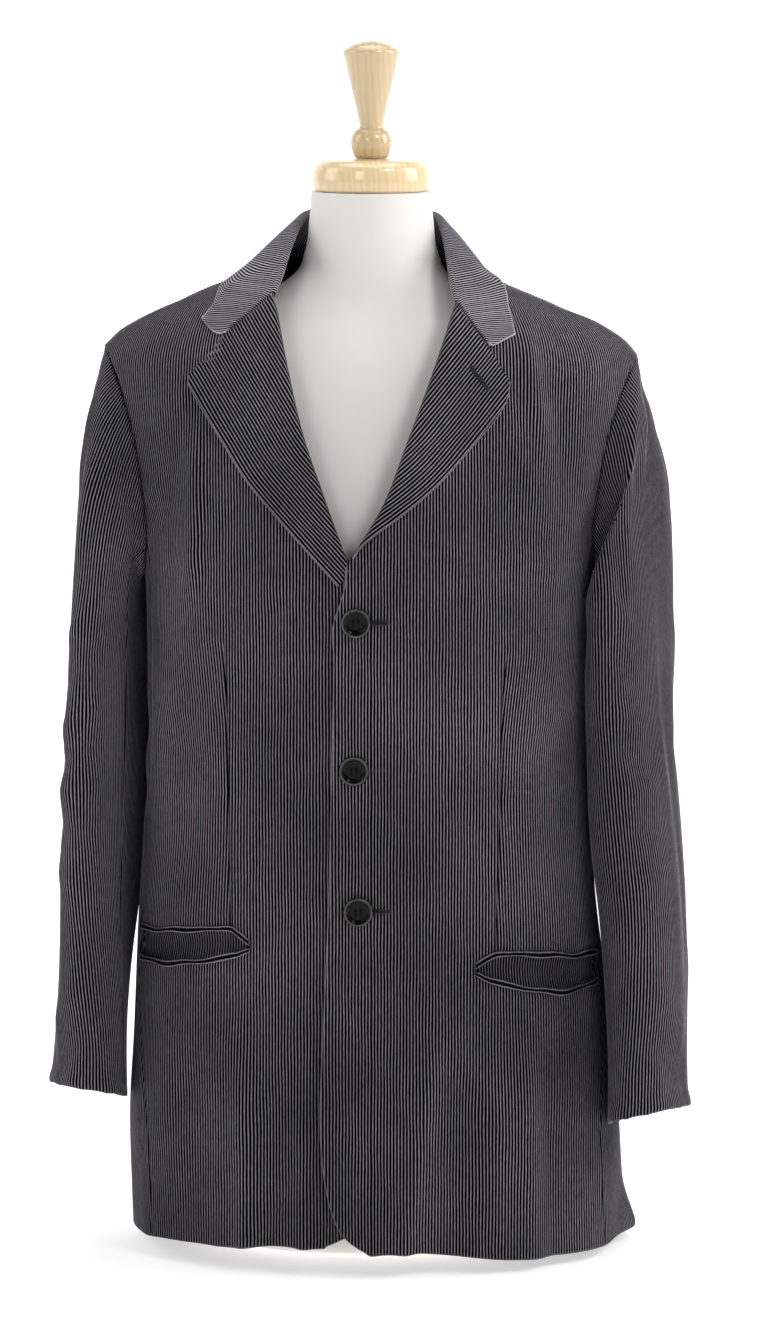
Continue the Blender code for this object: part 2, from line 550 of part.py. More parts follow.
def sleeves(word, side):
    half = 121
    full, length = along(sleeve_rows(side, half, WALL + 1.0), SLEEVE_LEVELS)
    loop = full[:, :-1]
    a = np.roll(loop, -1, axis=1) - np.roll(loop, 1, axis=1)
    b = np.gradient(loop, axis=0)
    n = np.cross(b, a) * side
    n /= np.linalg.norm(n, axis=-1, keepdims=True)
    n = np.concatenate([n, n[:, :1]], axis=1)
    mid = full.mean(axis=1, keepdims=True)
    if float(((full - mid) * n).sum()) < 0:
        n = -n
    # place on a level: 0 outer edge, 1 inner edge, 2 outer edge again by the back
    place = np.linspace(0, 2, 2 * half - 1)

    def take(f):
        f = np.mod(f, 2.0)
        p = np.stack([np.stack([np.interp(f, place, full[i, :, k]) for k in range(3)], -1) for i in range(len(full))])
        m = np.stack([np.stack([np.interp(f, place, n[i, :, k]) for k in range(3)], -1) for i in range(len(full))])
        return p, m / np.linalg.norm(m, axis=-1, keepdims=True)
    gap = 0.0021
    k = np.linspace(-1, 1, 13)
    k = np.sign(k) * np.abs(k) ** 1.25
    p, m = take(np.where(k < 0, k * (SEAM_BACK - gap), k * (SEAM_FRONT - gap)))
    cloth("sleeve_top_" + word, p, m)
    p, m = take(np.linspace(SEAM_FRONT + gap, 2 - SEAM_BACK - gap, 9))
    cloth("sleeve_under_" + word, p, m)


sleeves("left", 1)
sleeves("right", -1)


# ------------------------------------------------------------------ lapels and collar
def lapel(name, side):
    qs = np.linspace(LAPEL_START, 1, 12)
    turn = np.radians(np.linspace(-90, 90, 5))
    flat = np.linspace(0, 1, 7)[1:]
    roll, outer, gorge = lapel_frame(side)
    xs, zs, ls = [], [], []
    for q in qs:
        a, b = lapel_flat(side, np.array(q), np.array(0.0)), lapel_flat(side, np.array(q), np.array(1.0))
        width = np.linalg.norm(b - a)
        r = float(np.clip(0.32 * width, 3.4, NOSE))
        # the roll turns square to its line, and along the gorge at the top
        run = run_along(roll, np.array([q - 0.02, min(q + 0.02, 1.0)]))
        m = np.array((run[1, 1] - run[0, 1], run[0, 0] - run[1, 0])) * side
        g = gorge - roll[-1]
        m = m / np.linalg.norm(m) * (1 - q ** 4) + g / np.linalg.norm(g) * q ** 4
        m /= np.linalg.norm(m)
        d = np.concatenate([r * (1 - np.cos(turn)), r + flat * (width - r)])
        at = lapel_flat(side, np.full(d.shape, q), d / width)
        at[5:] += (a + m * r - lapel_flat(side, np.array(q), np.array(r / width))) * (1 - flat[:, None]) ** 2
        at[:5] = a + m * d[:5, None]
        lift = np.concatenate([r - WALL + r * np.sin(turn), LIE + (2 * r - WALL - LIE) * np.exp(-((d[5:] - r) / 17) ** 2)])
        xs.append(at[:, 0])
        zs.append(at[:, 1])
        ls.append(lift)
    p, n0 = front_on(np.array(xs), np.array(zs), side, np.array(ls))
    n = grid_normals(p)
    if float((n[:, -3:] * n0[:, -3:]).sum()) < 0:
        n = -n
    return cloth(name, p, n)


lapel("lapel_left", 1)
lapel("lapel_right", -1)


def skin():
    """Points of the coat round the neck with their normals."""
    out_p, out_n = [], []
    v = np.linspace(Z_CHEST + 60, Z_CHEST + TOP_RUN - 0.5, 90)
    for side in (1, -1):
        ph, vv = np.meshgrid(side * np.linspace(0.02, 1.35, 130), v)
        p, n = front_at(ph, vv, side)
        out_p.append(p.reshape(-1, 3))
        out_n.append(n.reshape(-1, 3))
    ph, vv = np.meshgrid(np.linspace(math.pi - 1.35, math.pi + 1.35, 240), v)
    out_p.append(body(ph, vv).reshape(-1, 3))
    out_n.append(normal(ph, vv).reshape(-1, 3))
    return np.concatenate(out_p), np.concatenate(out_n)


STAND, FALL = 7, 6


def collar_station(row, side):
    fx, fy, fz, ox, oy, oz, nx, ny, nz = row
    f, o, s = (np.array((side * x, y, z), float) for x, y, z in ((fx, fy, fz), (ox, oy, oz), (nx, ny, nz)))
    a, b = (s - f) / np.linalg.norm(s - f), (o - f) / np.linalg.norm(o - f)
    up = -(a + b)
    up /= np.linalg.norm(up)
    e = (o - s) - np.dot(o - s, up) * up
    e /= np.linalg.norm(e)
    c = f - FOLD_R * up
    t = np.radians(np.linspace(-90, 90, 5))
    nose = c + FOLD_R * (np.cos(t)[:, None] * up + np.sin(t)[:, None] * e)
    stand = s + (nose[0] - s) * np.linspace(0, 1, 3)[:2, None]
    k = np.linspace(0, 1, FALL + 1)[1:, None]
    fall = nose[-1] + (o - nose[-1]) * k + (up * 3.5 + e * 2.0) * np.sin(np.pi * k) ** 1.2
    return np.concatenate([stand, nose, fall])


def collar_front(side):
    roll, outer, gorge = lapel_frame(side)
    tip = np.array(TIP_L if side > 0 else TIP_R)
    length = np.linalg.norm(gorge - roll[-1]) + np.linalg.norm(tip - gorge)
    t = np.radians(np.linspace(-90, 90, STAND))
    d = np.concatenate([NOSE * (1 - np.cos(t)), NOSE + (length - NOSE) * np.linspace(0, 1, FALL + 1)[1:]])
    along_gorge = (gorge - roll[-1]) / np.linalg.norm(gorge - roll[-1])
    off = np.array((-along_gorge[1], along_gorge[0])) * (1 if side > 0 else -1)
    at = collar_end(side, d / length) + off * SEAM * 2.2
    lift = np.concatenate([NOSE - WALL + NOSE * np.sin(t), LIE + (2 * NOSE - WALL - LIE) * np.exp(-((d[STAND:] - NOSE) / 17) ** 2)])
    return front_on(at[:, 0], at[:, 1], side, lift)[0]


def collar_rows(levels):
    rows = [collar_front(1)] + [collar_station(r, 1) for r in COLLAR_LEFT] \
        + [collar_station(r, -1) for r in COLLAR_RIGHT[-2::-1]] + [collar_front(-1)]
    p, length = along(np.array(rows), levels)
    sp, sn = skin()
    ends = np.minimum(np.arange(len(p)), np.arange(len(p))[::-1])
    for i in range(len(p)):
        for j in range(STAND, p.shape[1]):
            if ends[i] == 0:
                continue
            k = int(np.argmin(((sp - p[i, j]) ** 2).sum(axis=1)))
            h = float(np.dot(p[i, j] - sp[k], sn[k]))
            want = LIE + 0.8
            if h < want:
                p[i, j] += sn[k] * (want - h)
            elif j == p.shape[1] - 1:
                p[i, j] -= sn[k] * (h - want)
    return p


half = np.array([0, 0.03, 0.07, 0.12, 0.18, 0.25, 0.33, 0.42, 0.5])
p = collar_rows(np.concatenate([half, 1 - half[-2::-1]]))
n = grid_normals(p)
if float(n[len(p) // 2, -3, 1]) < 0:
    n = -n
cloth("collar", p, n)


# ------------------------------------------------------------------ pockets and buttons
def pocket(word, side):
    tab = np.array(MOUTH_LEFT if side > 0 else MOUTH_RIGHT, float)
    fine = np.linspace(0, 1, 200)
    line = [smooth(fine, np.linspace(0, 1, len(tab)), tab[:, k]) for k in range(3)]
    run = front_on(line[0], line[1], side, np.zeros(200))[0]
    arc = np.concatenate([[0], np.cumsum(np.linalg.norm(np.diff(run, axis=0), axis=1))])
    x, up, low = (np.interp(np.linspace(0, arc[-1], 13), arc, v) for v in line)

    def band(name, z0, z1, lift, wall, rows, colour):
        zz = z0 + (z1 - z0) * np.linspace(0, 1, rows)[:, None]
        xx = np.broadcast_to(x, zz.shape)
        p, n = front_on(xx, zz, side, np.full(zz.shape, lift))
        cloth(name, p, n, wall, colour)
    band("welt_upper_" + word, up, up + LIP, LIE, WALL, 2, "cord")
    band("welt_lower_" + word, low - LIP, low, LIE, WALL, 2, "cord")
    band("facing_" + word, low + SEAM, up - SEAM, 1.7, 1.2, 2, "cord_dark")


pocket("left", 1)
pocket("right", -1)

BUTTON = ((6, 0), (11.2, 0.4), (BUTTON_R, 2.0), (12.2, 3.8), (10.6, 4.6), (9.0, 4.1), (7.6, 3.0), (3, 2.7))
for k, (bx, bz) in enumerate(BUTTONS):
    p, n = front_on(np.array(bx), np.array(bz), 1, np.array(0.8))
    turned("button_%d" % (k + 1), BUTTON, "horn", centre=p, axis=n, seg=20)


# ------------------------------------------------------------------ dress form
def form():
    z = np.concatenate([[FLOOR, 15, 20, 30, 48], np.linspace(80, 600, 8), [650, 695, 735, 765, 785, 800, 812, 824, 838, 854, 874, 922]])
    seg = 36
    t = np.arange(seg) * 2 * np.pi / seg
    verts, faces = [(0, 0, FLOOR)], []
    for h in z:
        w, f, b = (float(smooth(h, col(FORM, 0), col(FORM, k))) for k in (1, 2, 3))
        e = 2 / (2.25 - 0.25 * float(ease((h - 800) / 70)))
        c = np.sign(np.cos(t)) * np.abs(np.cos(t)) ** e
        s = np.sign(np.sin(t)) * np.abs(np.sin(t)) ** e
        verts += [(w * cc, (f + b) / 2 + (b - f) / 2 * ss, h) for cc, ss in zip(c, s)]
    verts.append((0, FORM_Y, z[-1]))
    faces = [(0, 1 + (k + 1) % seg, 1 + k) for k in range(seg)]
    for i in range(len(z) - 1):
        a, b = 1 + i * seg, 1 + (i + 1) * seg
        for k in range(seg):
            l = (k + 1) % seg
            faces += [(a + k, a + l, b + l), (a + k, b + l, b + k)]
    a, end = 1 + (len(z) - 1) * seg, len(verts) - 1
    faces += [(end, a + k, a + (k + 1) % seg) for k in range(seg)]
    node("form_body", verts, faces, "ivory")


form()
turned("form_neck_cap", CAP, "wood", centre=(0, FORM_Y, 0), seg=32)
turned("form_finial", FINIAL, "wood", centre=(0, FORM_Y, 0), seg=24)
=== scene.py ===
"""Corduroy blazer on a dress form.  The cloth is laid out flat as it is cut, wale by wale, and brought
to the coat's form with its folds.  Lengths in mm until the meshes are made."""
import math

import bpy
import numpy as np
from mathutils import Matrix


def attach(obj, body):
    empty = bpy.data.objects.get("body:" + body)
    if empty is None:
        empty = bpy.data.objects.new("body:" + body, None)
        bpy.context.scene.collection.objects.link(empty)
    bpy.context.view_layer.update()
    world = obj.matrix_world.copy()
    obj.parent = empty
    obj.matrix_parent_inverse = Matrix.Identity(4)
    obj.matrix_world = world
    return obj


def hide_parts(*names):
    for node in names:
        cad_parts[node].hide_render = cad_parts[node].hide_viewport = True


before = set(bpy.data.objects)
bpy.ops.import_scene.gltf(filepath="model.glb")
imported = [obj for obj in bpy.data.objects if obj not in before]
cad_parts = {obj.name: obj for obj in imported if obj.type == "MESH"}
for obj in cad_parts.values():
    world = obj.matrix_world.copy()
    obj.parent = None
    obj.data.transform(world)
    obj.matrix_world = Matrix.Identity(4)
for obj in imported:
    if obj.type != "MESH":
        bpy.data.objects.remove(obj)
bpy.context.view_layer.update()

# ------------------------------------------------------------------ sizes, mm
WALL = 2.0            # cloth wall
SEAM = 0.4            # left between two sewn pieces
SECT_N = 2.4          # roundness of a level section
CROWN_F = 2.6         # roundness of the front over the shoulder
CROWN_B = 3.5         # roundness of the back over the shoulder
Z_CHEST = 640.0       # the shoulder crown starts here
TOP_RUN = 240.0       # length of cloth from Z_CHEST to the shoulder seam
W_TIP = 236.0         # half width the crown opens to
LAP_RISE = 3.0        # the left front lies this far above the right one

# level sections of the coat: height, half width left (+X), right (-X), depth front, back
SECTIONS = (
    (0, 219, 205, 137, 143), (60, 217, 207, 137, 142), (134, 213, 209, 136, 138),
    (200, 206, 206, 134, 133), (267, 199, 203, 132, 127), (316, 193, 200, 132, 121),
    (390, 188, 195, 133, 112), (455, 186, 192, 134, 109), (560, 187, 191, 137, 115),
    (640, 192, 194, 137, 124))
# shoulder ridge: distance from the centre, height left, height right
RIDGE = ((0, 875, 875), (75, 860, 866), (120, 840, 847), (160, 824, 830),
         (200, 806, 813), (216, 795, 803), (236, 770, 782))
# armhole: (below 0: mm under Z_CHEST, from 0: share of the crown), angle front, angle back
ARMHOLE = ((-44, 90, 90), (-39, 82.5, 99), (-26, 78, 105.5), (-8, 75.5, 109), (0.1, 73, 111),
           (0.3, 69.2, 112.5), (0.5, 68.2, 112.6), (0.7, 69.2, 111.5), (0.85, 71, 109.2), (1.0, 73, 107))
# seams at the side: height, angle of the front one, angle of the back one
SIDE_SEAMS = ((0, 66, 116), (60, 64, 115), (114, 64, 115), (200, 72, 114), (270, 78, 114), (455, 78, 114),
              (600, 77, 111), (640, 75.8, 108.6))
# hem: angle from the front centre, height left, height right
HEM = ((0, 31, 36), (4, 33, 36), (14, 28, 36), (20, 26, 36), (30, 23, 33.5), (45, 21.5, 32), (60, 21.3, 31), (75, 22, 26.5),
       (90, 22, 23.5), (120, 20, 20), (150, 18, 18), (180, 17, 17))
# front edges up to the neck point, x and z
EDGE_LEFT = ((2, 30), (-7, 35), (-14, 39), (-23, 47), (-33, 67), (-38.5, 90), (-42, 120), (-43, 150), (-40, 230),
             (-36, 325), (-33, 445), (-31, 540), (-31, 572), (-26, 586), (-22.5, 598), (-19, 622), (-11.7, 632),
             (7.4, 664), (30.7, 723), (55, 788), (69.7, 831), (76, 862))
EDGE_RIGHT = ((-42, 36), (-23, 44.5), (-6, 57), (6, 74), (14, 100), (19, 150), (21, 230), (23, 325), (24, 445),
              (24, 560), (16, 596), (-6, 616), (-21.7, 627), (-31, 653), (-40.8, 681), (-55.1, 723), (-69.5, 783), (-80.2, 838),
              (-79, 868))
BREAK_Z = 628.0       # the lapels start to turn back
# lapels: outer edge from the break up to the corner, x and z, then the gorge end
LAPEL_EDGE_L = ((-16.5, 625), (-2.5, 639), (25, 660), (54.9, 685), (84, 717), (108, 746), (113.5, 757), (114.4, 768))
LAPEL_EDGE_R = ((-27.5, 601), (-59.1, 637), (-80, 661), (-100.4, 685), (-126, 725), (-148, 760), (-151, 766), (-150.6, 771.5))
LAPEL_START = 0.07    # share of the roll line left to the front edge at the break
LAPEL_FOOT = {1: 0.135, -1: 0.05}   # share of the outer edge that meets it
GORGE_L = (98.7, 796.5)
GORGE_R = (-127.5, 803.0)
# large folds laid in the fronts: x and z of both ends, half width, rise
FOLDS_FRONT = (
    (54, 210, 27, 30, 15, 7.5), (84, 190, 64, 25, 19, -6.0), (118, 200, 112, 20, 24, 4.0), (160, 160, 166, 20, 18, -3.5),
    (-60, 150, -58, 30, 15, 4.5), (-86, 170, -82, 30, 16, -3.5), (-112, 230, -112, 30, 17, 4.5), (-150, 200, -152, 30, 20, -4.0),
    (126, 818, 150, 690, 14, 4.0), (150, 790, 170, 660, 12, -3.5), (172, 740, 172, 600, 13, 3.0),
    (-140, 735, -150, 560, 15, 3.5), (-172, 720, -168, 590, 13, -3.0), (-176, 560, -186, 380, 16, 3.0),
    (70, 520, 62, 330, 26, 2.0), (-75, 520, -70, 330, 26, 2.0), (150, 520, 160, 330, 20, -2.5), (-150, 520, -158, 340, 18, -2.5))
# sleeves: outer edge x, z; inner edge x, z; middle y; half depth; turn (its front leans to the coat)
SLEEVE_LEFT = (
    (226.8, 766, 196.5, 594, 2, 64, 0), (236.6, 738, 197, 588, 1, 70, 0.08), (242, 703, 196.5, 580, 0, 75, 0.25),
    (246, 660, 195, 568, -1, 78, 0.33), (249.4, 610, 195.2, 550, -2, 79, 0.32), (251, 546, 191.8, 515, -4, 78, 0.3),
    (254, 470, 190.4, 455, -9, 76, 0.27), (261.5, 390, 191.5, 380, -18, 73, 0.23), (268.6, 310, 198.5, 302, -31, 69, 0.16),
    (269.6, 240, 203, 231, -44, 65, 0.15), (269, 185, 205.5, 176, -55, 61, 0.18), (270.5, 143, 205, 128, -63, 58, 0.2))
SLEEVE_RIGHT = (
    (227, 779, 198.5, 596, 2, 64, 0), (235.6, 756, 199, 590, 2, 70, -0.05), (240.7, 722, 199, 582, 2, 75, -0.1),
    (243.4, 680, 198.5, 570, 2, 78, -0.15), (244.1, 620, 197.5, 552, 2, 79, -0.22), (245.9, 550, 197.5, 520, 1, 78, -0.28),
    (249.8, 470, 198.5, 458, -2, 76, -0.3), (254.6, 398, 201.5, 388, -7, 73, -0.28), (261.4, 320, 206.5, 312, -14, 69, -0.2),
    (267.8, 250, 210, 243, -22, 65, -0.06), (272.2, 200, 211.5, 192, -29, 61, 0.05), (276, 158, 211, 146, -35, 58, 0.1))
CUFF_DIP = 22.0       # the back of the cuff hangs lower than the front
SEAM_FRONT = 0.8      # sleeve seams, share of a half turn from the outer edge
SEAM_BACK = 0.52
# collar, from the gorge round to the centre back: fold x, y, z; fall edge x, y, z; stand foot x, y, z
COLLAR_LEFT = (
    (66.5, -58, 853, 114.5, -57, 829, 70.6, -61, 843.5), (63.5, -35, 872, 110, -15, 843, 72.3, -43, 852.5),
    (60.5, 2, 891, 103, 10, 849, 75, 4, 861), (54, 42, 902, 84, 55, 857, 68, 45, 865), (31, 69, 905, 48, 88, 860, 38, 71, 869),
    (0, 77, 906, 0, 101, 858, 0, 77.5, 870))
COLLAR_RIGHT = (
    (74.5, -55, 857, 135, -58, 834, 78.8, -60, 849), (68.8, -33, 875, 126, -20, 847, 78.2, -42, 858),
    (62, 2, 894, 108, 10, 855, 78, 4, 867), (55, 42, 903, 87, 55, 861, 70, 45, 869), (31, 69, 905.5, 49, 88, 863, 39, 71, 871),
    (0, 77, 906, 0, 101, 858, 0, 77.5, 870))
TIP_L = (119.3, 804.7)
TIP_R = (-141.5, 816.8)
NOSE = 4.0            # radius of the roll of a lapel
FOLD_R = 3.2          # radius of the collar fold
LIE = 2.8             # outside of a lapel above the cloth under it
# pocket mouths, x and z along the upper and the lower lip
MOUTH_LEFT = ((88, 275, 272), (97, 280.5, 267.5), (106, 284.5, 264.5), (120, 284, 260), (140, 281, 254), (160, 278, 251), (176, 275, 250), (192, 272.5, 253))
MOUTH_RIGHT = ((-103, 294.5, 291.5), (-112, 301.5, 288), (-120, 306, 286), (-140, 303.5, 280), (-156, 301, 276.5), (-176, 298, 273.5), (-188, 295.5, 272), (-197, 293.5, 272))
LIP = 5.0             # height of a pocket lip
BUTTONS = ((-12.7, 570.6), (-14.4, 445.9), (-10.9, 325.7))
BUTTON_R = 12.7
FLOOR = 12.0          # height here of the form's flat foot
# dress form: height, half width, front, back
FORM = ((12, 116, -58, 60), (19, 131, -73, 75), (40, 150, -92, 94), (90, 166, -105, 108), (160, 171, -109, 113), (260, 164, -107, 106), (360, 148, -100, 90), (450, 140, -98, 84),
        (530, 150, -107, 88), (600, 166, -116, 96), (660, 173, -115, 102), (715, 178, -106, 104), (760, 180, -92, 100), (785, 174, -80, 95),
        (805, 155, -67, 88), (820, 125, -57, 82), (836, 90, -50, 75), (852, 66, -47, 69), (872, 56.5, -45, 65), (895, 53.2, -43.5, 63), (922, 51, -42, 62))
FORM_Y = 10.0         # middle of the neck
# turned wood: radius, height
CAP = ((46, 922.3), (48.8, 923.6), (50, 927), (50, 938), (48.6, 943.5), (44, 947.6), (30, 949.6), (12, 950))
FINIAL = ((12.5, 950.3), (16, 953.5), (17.7, 960.5), (16.6, 968.5), (12.3, 975), (10.6, 978), (11.6, 988), (15.2, 1006),
          (19.6, 1024), (23.4, 1038), (24.2, 1041.5), (22, 1045.5), (13.5, 1049), (4, 1050.2))


# ------------------------------------------------------------------ the coat's form
def smooth(t, xs, ys):
    """Cubic through (xs, ys) with the slopes of its neighbours."""
    xs, ys = np.asarray(xs, float), np.asarray(ys, float)
    t = np.clip(np.asarray(t, float), xs[0], xs[-1])
    h = np.diff(xs)
    d = np.diff(ys) / h
    m = np.empty_like(ys)
    m[0], m[-1] = d[0], d[-1]
    m[1:-1] = (d[:-1] * h[1:] + d[1:] * h[:-1]) / (h[1:] + h[:-1])
    k = np.clip(np.searchsorted(xs, t) - 1, 0, len(xs) - 2)
    u = (t - xs[k]) / h[k]
    return ((1 + 2 * u) * (1 - u) ** 2 * ys[k] + u * (1 - u) ** 2 * h[k] * m[k]
            + u * u * (3 - 2 * u) * ys[k + 1] + u * u * (u - 1) * h[k] * m[k + 1])


def col(table, k):
    return [row[k] for row in table]


def ease(t):
    t = np.clip(t, 0.0, 1.0)
    return t * t * (3 - 2 * t)


def by_side(x, table, v):
    """Column 1 of a table on the left, column 2 on the right."""
    return np.where(x >= 0, smooth(v, col(table, 0), col(table, 1)), smooth(v, col(table, 0), col(table, 2)))


def crown_table():
    h = np.sin(np.linspace(0, np.pi / 2, 400)) ** 0.8
    d = (1 - np.clip(h, 0, 1) ** 3.0) ** (1 / 3.0)
    run = np.concatenate([[0], np.cumsum(np.hypot(np.diff(h) * 175, np.diff(d) * 130))])
    return run / run[-1], h


RUN_Q, RUN_H = crown_table()


def crown_of(v):
    return np.interp(np.clip((np.asarray(v, float) - Z_CHEST) / TOP_RUN, 0, 1), RUN_Q, RUN_H)


def v_of_crown(h):
    return Z_CHEST + TOP_RUN * np.interp(h, RUN_H, RUN_Q)


def body(phi, v):
    """A point of the coat's outside: angle from the front centre, run up from the floor."""
    phi, v = np.broadcast_arrays(np.asarray(phi, float), np.asarray(v, float))
    sn, cs = np.sin(phi), np.cos(phi)
    hz = crown_of(v)
    z0 = np.minimum(v, Z_CHEST)
    w = by_side(sn, SECTIONS, z0)
    w = w + (W_TIP - w) * hz ** 1.1
    x = w * np.sign(sn) * np.abs(sn) ** (2 / SECT_N)
    zr = by_side(x, RIDGE, np.abs(x))
    z = np.where(v <= Z_CHEST, v, Z_CHEST + hz * (zr - Z_CHEST))
    df = -smooth(z0, col(SECTIONS, 0), col(SECTIONS, 3)) * (1 - hz ** CROWN_F) ** (1 / CROWN_F)
    db = smooth(z0, col(SECTIONS, 0), col(SECTIONS, 4)) * (1 - hz ** CROWN_B) ** (1 / CROWN_B)
    y = np.where(cs >= 0, df, db) * np.abs(cs) ** (2 / SECT_N)
    y = y + (12 - 0.05 * np.clip(np.abs(x) - 75, 0, 200)) * hz ** 2
    return np.stack([x, y, z], -1)


def normal(phi, v):
    a = body(phi + 0.004, v) - body(phi - 0.004, v)
    b = body(phi, np.minimum(v + 0.6, Z_CHEST + TOP_RUN)) - body(phi, v - 0.6)
    n = np.cross(a, b)
    return n / np.linalg.norm(n, axis=-1, keepdims=True)


def find(x, z, back=False):
    """Angle and run of the point of the front (or back) seen at x, z."""
    x, z = np.asarray(x, float), np.asarray(z, float)
    zr = by_side(x, RIDGE, np.abs(x))
    hz = np.clip((z - Z_CHEST) / (zr - Z_CHEST), 0, 1)
    v = np.where(z <= Z_CHEST, z, v_of_crown(hz))
    w = by_side(x, SECTIONS, np.minimum(z, Z_CHEST))
    w = w + (W_TIP - w) * hz ** 1.1
    phi = np.arcsin(np.clip(np.abs(x) / w, 0, 1) ** (SECT_N / 2))
    if back:
        phi = np.pi - phi
    return np.sign(x) * phi, v


def folds(x, z, table):
    out = np.zeros(np.broadcast(x, z).shape)
    for x0, z0, x1, z1, half, rise in table:
        dx, dz = x1 - x0, z1 - z0
        ll = math.hypot(dx, dz)
        t = ((x - x0) * dx + (z - z0) * dz) / ll ** 2
        off = ((x - x0) * dz - (z - z0) * dx) / ll
        end_free = 1.0 if z1 < 40 else ease((1.08 - t) / 0.35)
        out = out + rise * np.exp(-(off / half) ** 2) * ease((t + 0.08) / 0.4) * end_free
    return out


def lap_rise(x, z):
    """The left front stands off the right one where they overlap."""
    return LAP_RISE * ease((78 - x) / 45)


def front_at(phi, v, side, table=None):
    """Outside of a front, with its large folds; side is +1 left, -1 right."""
    p, n = body(phi, v), normal(phi, v)
    x, z = p[..., 0], p[..., 2]
    d = folds(x, z, FOLDS_FRONT if table is None else table) * ease((outer_angle(v, 1) - np.abs(phi)) / 0.16)
    if side > 0:
        d = d + lap_rise(x, z)
    return p + n * d[..., None], n


def front_on(x, z, side, lift=0.0, table=None):
    """What lies on a front: its points at x, z, moved out."""
    phi, v = find(x, z)
    p, n = front_at(phi, v, side, table)
    return p + n * np.asarray(lift)[..., None], n


def armhole(side, n):
    """Loop on the coat from the shoulder down the front, and from the shoulder down the back."""
    key = [r[0] for r in ARMHOLE]
    v = [Z_CHEST + k if k < 0.05 else float(v_of_crown(k)) for k in key]
    vv = np.array(v[::-1])
    loops = []
    for k in (1, 2):
        ang = np.array(col(ARMHOLE, k)[::-1], float)
        t = np.linspace(0, 1, 200)
        par = np.linspace(0, 1, len(vv))
        phi, run = np.radians(smooth(t, par, ang)), smooth(t, par, vv)
        pts = body(side * phi, run)
        arc = np.concatenate([[0], np.cumsum(np.linalg.norm(np.diff(pts, axis=0), axis=1))])
        tt = np.interp(np.linspace(0, 1, n) * arc[-1], arc, t)
        loops.append((side * np.radians(smooth(tt, par, ang)), smooth(tt, par, vv)))
    return loops


def armhole_angle(v, k):
    key = [Z_CHEST + r[0] if r[0] < 0.05 else float(v_of_crown(r[0])) for r in ARMHOLE]
    return np.radians(np.interp(v, key, col(ARMHOLE, k)))


ARM_LOW = Z_CHEST + ARMHOLE[0][0]


def meet_v(k):
    """Run at which a side seam reaches the armhole."""
    v = np.linspace(ARM_LOW, Z_CHEST + 30, 800)
    seam = np.radians(smooth(v, col(SIDE_SEAMS, 0), col(SIDE_SEAMS, k)))
    d = (armhole_angle(v, k) - seam) * (1 if k == 1 else -1)
    return float(v[np.argmax(d < 0)])


MEET_F, MEET_B = meet_v(1), meet_v(2)


def outer_angle(v, k):
    """Outer edge of a front (k 1) or back (k 2): side seam, then armhole."""
    meet = MEET_F if k == 1 else MEET_B
    seam = np.radians(smooth(np.minimum(v, meet), col(SIDE_SEAMS, 0), col(SIDE_SEAMS, k)))
    return np.where(v <= meet, seam, armhole_angle(v, k))


def armhole_floor(ang):
    """Top of a side panel at an angle."""
    lowf = [(math.degrees(armhole_angle(v, 1)), v) for v in np.linspace(MEET_F, ARM_LOW, 40)]
    lowb = [(math.degrees(armhole_angle(v, 2)), v) for v in np.linspace(ARM_LOW, MEET_B, 40)]
    pts = sorted(lowf + lowb)
    return np.interp(np.degrees(ang), [p[0] for p in pts], [p[1] for p in pts])


def hem_v(phi, side=None):
    a = np.degrees(np.abs(phi))
    return by_side(np.sin(phi) if side is None else np.full(np.shape(phi), float(side)), HEM, a)


def front_edge(v, side):
    """Angle of a front's free edge at a run."""
    tab = EDGE_LEFT if side > 0 else EDGE_RIGHT
    ph, vv = find(np.array(col(tab, 0)), np.array(col(tab, 1)))
    vv[-1] = Z_CHEST + TOP_RUN
    ang = smooth(v, vv, ph)
    return ang


def ring(row, side, n, sh=2.35):
    """One level of a sleeve, n points from the outer edge round by the front."""
    xo, zo, xi, zi, ym, hd, skew = row
    t = np.linspace(0, 2 * np.pi, 720)
    c = np.sign(np.cos(t)) * np.abs(np.cos(t)) ** (2 / sh)
    s = np.sign(np.sin(t)) * np.abs(np.sin(t)) ** (2 / sh)
    dip = -CUFF_DIP * ease((260 - zo) / 115)
    pts = np.stack([side * ((xo + xi) / 2 + c * (xo - xi) / 2 - skew * s * hd), ym - s * hd,
                    (zo + zi) / 2 + c * (zo - zi) / 2 - s * dip * 0.5], -1)
    arc = np.concatenate([[0], np.cumsum(np.linalg.norm(np.diff(pts, axis=0), axis=1))])
    half = arc[359]
    g = np.concatenate([np.linspace(0, half, n), np.linspace(half, arc[-1], n)[1:]])
    return np.stack([np.interp(g, arc, pts[:, k]) for k in range(3)], -1)


def sleeve_rows(side, n, proud):
    """Rings of a sleeve; the first is the armhole, stood off the coat."""
    (pf, vf), (pb, vb) = armhole(side, n)
    first = np.concatenate([body(pf, vf) + normal(pf, vf) * proud,
                            (body(pb, vb) + normal(pb, vb) * proud)[::-1][1:]])
    table = SLEEVE_LEFT if side > 0 else SLEEVE_RIGHT
    return np.stack([first] + [ring(r, side, n) for r in table])


